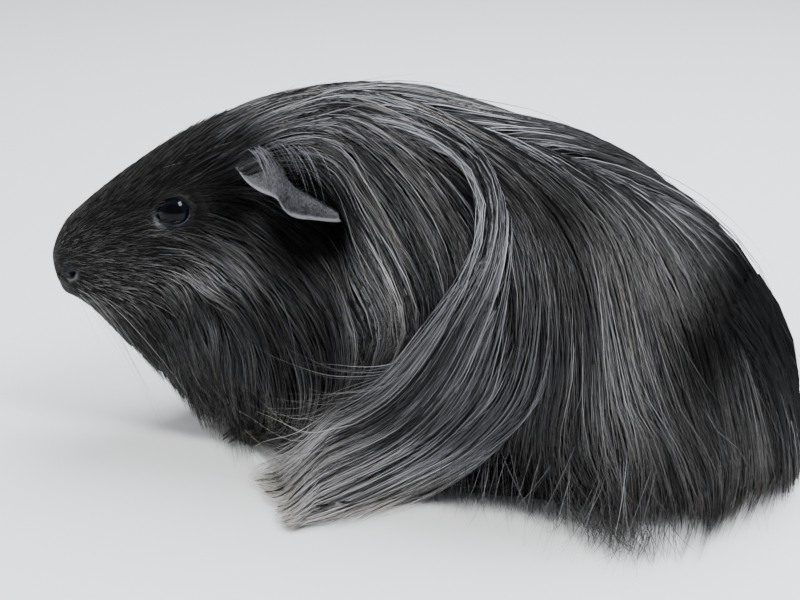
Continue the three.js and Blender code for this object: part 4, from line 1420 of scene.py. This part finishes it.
# ---- Forward lock --------------------------------------------------------------------------------
# One heavy lock from the left of the withers sweeps back over the shoulder, then turns forward under
# itself. Its ends fan out on the floor, and a few hairs leave it early and hang in front of the throat.
FORWARD_LOCKS, FORWARD_HAIRS, FORWARD_WISPS, FORWARD_STEPS = 56, 1750, 44, 19
WISP_GROUPS = 9
# Its inner edge, middle and outer edge: x and height on the body, then x and -y on the floor.
FORWARD_EDGES = (
    [(87, 102), (112, 100), (134, 93), (146, 84), (148, 73),
     (134, 49), (115, 25), (86, 10), (70, 4), (55, -51)],
    [(90, 105), (113, 103), (137, 95), (149, 83), (152, 66),
     (144, 42), (126, 19), (100, 3), (90, -68), (73, -75)],
    [(92, 105), (117, 102), (142, 93), (157, 79), (162, 60),
     (158, 36), (143, 17), (128, 5), (121, -58), (112, -77)],
)
WISP_LINE = [(133, 49), (117, 29), (93, 18), (65, 15), (52, 18)]
LINE_KNOTS = 44


def floor_drop(x, out):
    """The drop at which hair on the floor lies this far out from the middle."""
    hem = float(coat_half(x) + hem_flare[LEFT](x))
    room = max(WIDEST - hem, 2)
    share = min(max((out - hem) / room, 0.02), 0.98)
    return 1 - room * math.log(1 - share) / FLOOR_RUN


def as_drop(line):
    """A line in x and height, and on the floor x and -y, as even steps in x and drop."""
    knots = np.array([(x, drop_of(x, z) if z >= 0 else floor_drop(x, -z)) for x, z in line])
    return drawn(knots * [1, DROP_SPAN], LINE_KNOTS) / [1, DROP_SPAN]


def along_line(lines, at, *which):
    """Places between the knots of lines, which says which line each is on."""
    low = np.minimum(at.astype(int), LINE_KNOTS - 2)
    between = (at - low)[..., None]
    return lines[(*which, low)] * (1 - between) + lines[(*which, low + 1)] * between


edge_lines = np.stack([as_drop(line) for line in FORWARD_EDGES])
wisp_line = as_drop(WISP_LINE)
forward_count = FORWARD_LOCKS + FORWARD_HAIRS + FORWARD_WISPS
is_bundle = np.arange(forward_count) < FORWARD_LOCKS
is_wisp = np.arange(forward_count) >= FORWARD_LOCKS + FORWARD_HAIRS
bundle = np.where(is_bundle, np.arange(forward_count), seeded.integers(0, FORWARD_LOCKS, forward_count))
bundle_across = seeded.uniform(0, 1, FORWARD_LOCKS) ** 1.15
fan = smooth_step(bundle_across, 0.42, 0.56)
bundle_start = seeded.uniform(0.03, 0.46, FORWARD_LOCKS) * (1 - fan)
bundle_start += fan * seeded.uniform(0.38, 0.56, FORWARD_LOCKS)
long_bundle = seeded.uniform(0, 1, FORWARD_LOCKS) < 0.7
long_stop = seeded.uniform(0.84, 1.0, FORWARD_LOCKS)
bundle_stop = np.where(long_bundle, long_stop, seeded.uniform(0.62, 0.84, FORWARD_LOCKS))
bundle_stop -= 0.13 * np.exp(-(((bundle_across - 0.37) / 0.07) ** 2))
bundle_stop -= 0.1 * smooth_step(bundle_across, 0.75, 0.95)
bundle_lift = seeded.uniform(0.0, 2.2, FORWARD_LOCKS) * (1 - 0.5 * smooth_step(bundle_across, 0.5, 0.9))
forward_along = np.linspace(0, 1, FORWARD_STEPS)[None]
start = np.clip(bundle_start[bundle] + seeded.normal(0, 0.06, forward_count), 0, 0.64)[:, None]
stop = np.clip(bundle_stop[bundle] + seeded.normal(0, 0.03, forward_count) * ~is_bundle, 0.55, 1)[:, None]
apart = seeded.normal(0, 0.19, forward_count)[:, None] * ~is_bundle[:, None] * (1 - 0.7 * forward_along)
forward_at = (start + (stop - start) * forward_along) * (LINE_KNOTS - 1)
apart *= 0.25 + 0.75 * smooth_step(forward_at / LINE_KNOTS, 0.25, 0.5)
forward_across = np.clip(bundle_across[bundle][:, None] + apart, -0.25, 1.12) * 2
edge = (forward_across >= 1).astype(int)
towards = (forward_across - edge)[..., None]
near_edge = along_line(edge_lines, forward_at, edge)
far_edge = along_line(edge_lines, forward_at, edge + 1)
forward_place = near_edge * (1 - towards) + far_edge * towards

# Each wisp follows its line with the others of its group, which fan out and bow together.
wisp_at = forward_along * seeded.uniform(0.55, 1.0, forward_count)[:, None] * (LINE_KNOTS - 1)
wisp_group = seeded.integers(0, WISP_GROUPS, forward_count)


def grouped(by_group, by_hair):
    """How far each wisp is off its line in x and drop: what its group shares, and its own."""
    shared = seeded.normal(0, by_group, (WISP_GROUPS, 2))[wisp_group]
    return (shared + seeded.normal(0, by_hair, (forward_count, 2)))[:, None]


wisp_fan = grouped([2.5, 0.1], [1.0, 0.025]) * (0.05 + forward_along[..., None] ** 1.3)
wisp_bow = grouped([1.0, 0.04], [0.6, 0.012]) * np.sin(math.pi * forward_along[..., None] ** 0.8)
wisp_place = along_line(wisp_line, wisp_at) + wisp_fan + wisp_bow
forward_place = np.where(is_wisp[:, None, None], wisp_place, forward_place)
forward_x, forward_drop = forward_place[..., 0], forward_place[..., 1]
forward_side = np.full(forward_count, LEFT)
forward_reach = np.full(forward_count, 100.0)
forward_run = np.broadcast_to(forward_reach[:, None], forward_x.shape)
forward_track = np.stack([forward_x, forward_drop, forward_run], -1)
rooted = smooth_step(forward_along, -0.02, 0.14)
landed = smooth_step(forward_drop, 0.9, 1.04)
forward_height = coat_point(forward_x, forward_drop, np.full(forward_x.shape, LEFT))[..., 2]
high = smooth_step(forward_height, 86, 98)
thick = (bundle_lift[bundle] + seeded.normal(0, 0.5, forward_count))[:, None]
forward_lift = rooted * (1.1 + thick * (1 - 0.45 * landed) * (1 - 0.85 * high)) - 5 * (1 - rooted)
wisp_lift = 1.5 + 6 * forward_along * seeded.uniform(0.2, 1.3, (forward_count, 1))
forward_lift = np.where(is_wisp[:, None], wisp_lift, forward_lift)
forward_points, forward_normal = lifted(
    forward_track, forward_side, forward_reach, np.ones(forward_count), SPRING, forward_lift
)
for smoothing in range(3):
    neighbours = forward_points[:, :-2] + forward_points[:, 2:]
    forward_points[:, 1:-1] = (neighbours + 2 * forward_points[:, 1:-1]) / 4
forward_phase = seeded.uniform(0, 2 * math.pi, (forward_count, 1))
forward_aside = unit(np.cross(unit(np.gradient(forward_points, axis=1)), forward_normal))
forward_curl = 0.7 * np.sin(2 * math.pi * 1.3 * forward_along + forward_phase) * forward_along**1.5
forward_sway = np.clip(seeded.normal(0, 1.3, (forward_count, 1)), -2.2, 2.2) * forward_along**3
forward_sway = forward_sway * ~is_bundle[:, None]
forward_points += forward_aside * (forward_curl + forward_sway)[..., None]
forward_points[..., 2] = np.maximum(forward_points[..., 2], HAIR_REST)
bundle_tone = seeded.uniform(0, 1.0, FORWARD_LOCKS) ** 1.5
forward_tone = np.clip(0.5 * bundle_tone[bundle] + seeded.beta(0.7, 1.9, forward_count), 0, 1)[:, None]
# The forward lock's tone carries the painted sheen and shade of the coat's patches, is paler towards its
# ends on the floor, a little greyer all along and greyer again over the shoulder.
forward_grey_sheen_and_shade = grey_sheen_and_shade(forward_x, forward_height) + 1.9 * smooth_step(-forward_height, -26, -5)
at_shoulder = smooth_step(forward_height, 56, 70) * (1 - smooth_step(forward_height, 90, 99))
forward_grey_sheen_and_shade += 0.16 + 0.2 * at_shoulder
forward_tone = np.clip(forward_tone * forward_grey_sheen_and_shade, 0, 1)
forward_root = bake_root(forward_x[:, 0], forward_drop[:, 0], forward_side)
forward_width = seeded.uniform(0.6, 1.3, (forward_count, 1))
for name, chosen, shape, width, finish in (
    ("forward_lock_bundles", is_bundle, BUNDLE_SHAPE, (1.2, 3.6, 0.3), lock_finish),
    ("forward_lock_hair", ~is_bundle, HAIR_SHAPE, STRAND_WIDTHS, hair_finish),
):
    widths = taper(FORWARD_STEPS, *width) * forward_width[chosen]
    swept_hair(name, forward_points[chosen], forward_normal[chosen], widths, forward_tone[chosen],
               forward_root[chosen], shape, finish)

# ---- Whiskers ------------------------------------------------------------------------------------
# Thin, stiff, pale hairs grow in four rows on each side of the muzzle, with two more over each eye and
# four on each side of the chin.
WHISKER_STEPS = 12
WHISKER_SHAPE = (5, 1.0)
WHISKER_ROWS, WHISKERS_IN_ROW = 4, 4
LONE_WHISKERS = ((34, 0.14, 9), (38, 0.13, 7), (16, 0.9, 14), (20, 0.88, 16), (24, 0.87, 20), (28, 0.86, 18))
whisker_finish = hair_material("pale_whisker", 0.3, (0.1, 0.1, 0.1), (0.3, 0.29, 0.28), (0.5, 0.49, 0.47))
whisker_lines, whisker_roots = [], []


def add_whisker(x, drop, side, run, heading, sag):
    """One whisker of a length, straight along its heading at first and then bending over by its sag."""
    root = skin_point(np.array([x]), np.array([drop]), np.array([side]))[0]
    t = np.linspace(0, 1, WHISKER_STEPS)[:, None]
    whisker_lines.append(root - heading * 0.5 + heading * run * t + sag * run * t**2)
    whisker_roots.append((x, drop, side))


for side in (LEFT, RIGHT):
    for row in range(WHISKER_ROWS):
        for place in range(WHISKERS_IN_ROW):
            run = (15 + 5.0 * place) * seeded.uniform(0.7, 1.2)
            heading = [0.55 + 0.08 * place, side * (0.7 - 0.12 * row), -0.25 - 0.3 * row]
            heading = unit(np.array(heading) + seeded.normal(0, 0.14, 3))
            x, drop = 7.0 + 2.6 * place + 0.6 * (row % 2), 0.56 + 0.075 * row
            add_whisker(x, drop, side, run, heading, np.array([0.095, 0.0, -0.38]))
    for x, drop, run in LONE_WHISKERS:
        up = 0.5 if drop < 0.5 else -0.35
        heading = unit(np.array([0.7, side * 0.5, up]) + seeded.normal(0, 0.1, 3))
        add_whisker(x, drop, side, run, heading, np.array([0.09, 0.0, -0.15]))
whisker_points = np.stack(whisker_lines)
whisker_points[..., 2] = np.maximum(whisker_points[..., 2], HAIR_REST + 0.1)
whisker_width = taper(WHISKER_STEPS, 0.13, 0.11, 0.03) * np.ones((len(whisker_points), 1))
whisker_tone = seeded.uniform(0, 1, len(whisker_points))
whisker_root = bake_root(*np.array(whisker_roots, float).T)
swept_hair("whiskers", whisker_points, np.broadcast_to([0.0, 0.0, 1.0], whisker_points.shape), whisker_width,
           whisker_tone, whisker_root, WHISKER_SHAPE, whisker_finish)

# ---- Floor, light and camera ----------------------------------------------------------------------
# A plain pale floor under soft daylight from overhead, with a small window that shines in the eye. The
# animal is seen from its left and a little above.
FLOOR_REACH = 3.0
floor_corners = FLOOR_REACH * np.array([[-1, -1, 0], [1, -1, 0], [1, 1, 0], [-1, 1, 0]])
floor_mesh = new_mesh("floor", floor_corners, [[0, 1, 2, 3]], smooth=False)
floor_material, floor_shader = new_material("pale_floor", 0.7, 0.3)
floor_shader.inputs["Base Color"].default_value = (0.78, 0.79, 0.8, 1)
floor = new_piece("floor", floor_mesh, floor_material)

world = bpy.data.worlds.new("soft_room")
bpy.context.scene.world = world
world.use_nodes = True
world.node_tree.nodes["Background"].inputs["Color"].default_value = (0.86, 0.9, 1.0, 1)
world.node_tree.nodes["Background"].inputs["Strength"].default_value = 0.42


LOOK_AT = Vector((0, 0, 0.05))


def soft_light(name, place, size, power, colour=(1, 1, 1)):
    light = bpy.data.lights.new(name, "AREA")
    light.shape = "RECTANGLE"
    light.size, light.size_y = size
    light.energy = power
    light.color = colour
    lamp = bpy.data.objects.new(name, light)
    lamp.location = place
    lamp.rotation_euler = (LOOK_AT - Vector(place)).to_track_quat("-Z", "Y").to_euler()
    bpy.context.scene.collection.objects.link(lamp)
    return lamp


soft_light("sky", (0.15, 0.45, 0.95), (1.1, 0.7), 26.0, (0.9, 0.95, 1.0))
soft_light("window", (0.42, -0.24, 0.76), (0.22, 0.34), 9.0)
soft_light("room", (-0.75, -0.6, 0.85), (0.9, 0.7), 9.0, (1.0, 0.98, 0.95)).visible_glossy = False

AZIMUTH, ELEVATION, DISTANCE = math.radians(20), math.radians(19), 0.52
AIM_LEFT, AIM_DOWN = 0.0095, 0.0071  # how far the middle of the picture is off the point looked at
LENS = 79.2
across, along = math.sin(AZIMUTH), -math.cos(AZIMUTH)
towards = Vector((across * math.cos(ELEVATION), along * math.cos(ELEVATION), math.sin(ELEVATION)))
to_right = (-towards).cross(Vector((0, 0, 1))).normalized()
to_top = to_right.cross(-towards)
target = LOOK_AT - to_right * AIM_LEFT - to_top * AIM_DOWN
camera_data = bpy.data.cameras.new("camera")
camera_data.lens = LENS
camera_data.clip_start = 0.01
camera = bpy.data.objects.new("camera", camera_data)
camera.location = target + towards * DISTANCE
camera.rotation_euler = (-towards).to_track_quat("-Z", "Y").to_euler()
bpy.context.scene.collection.objects.link(camera)
bpy.context.scene.camera = camera
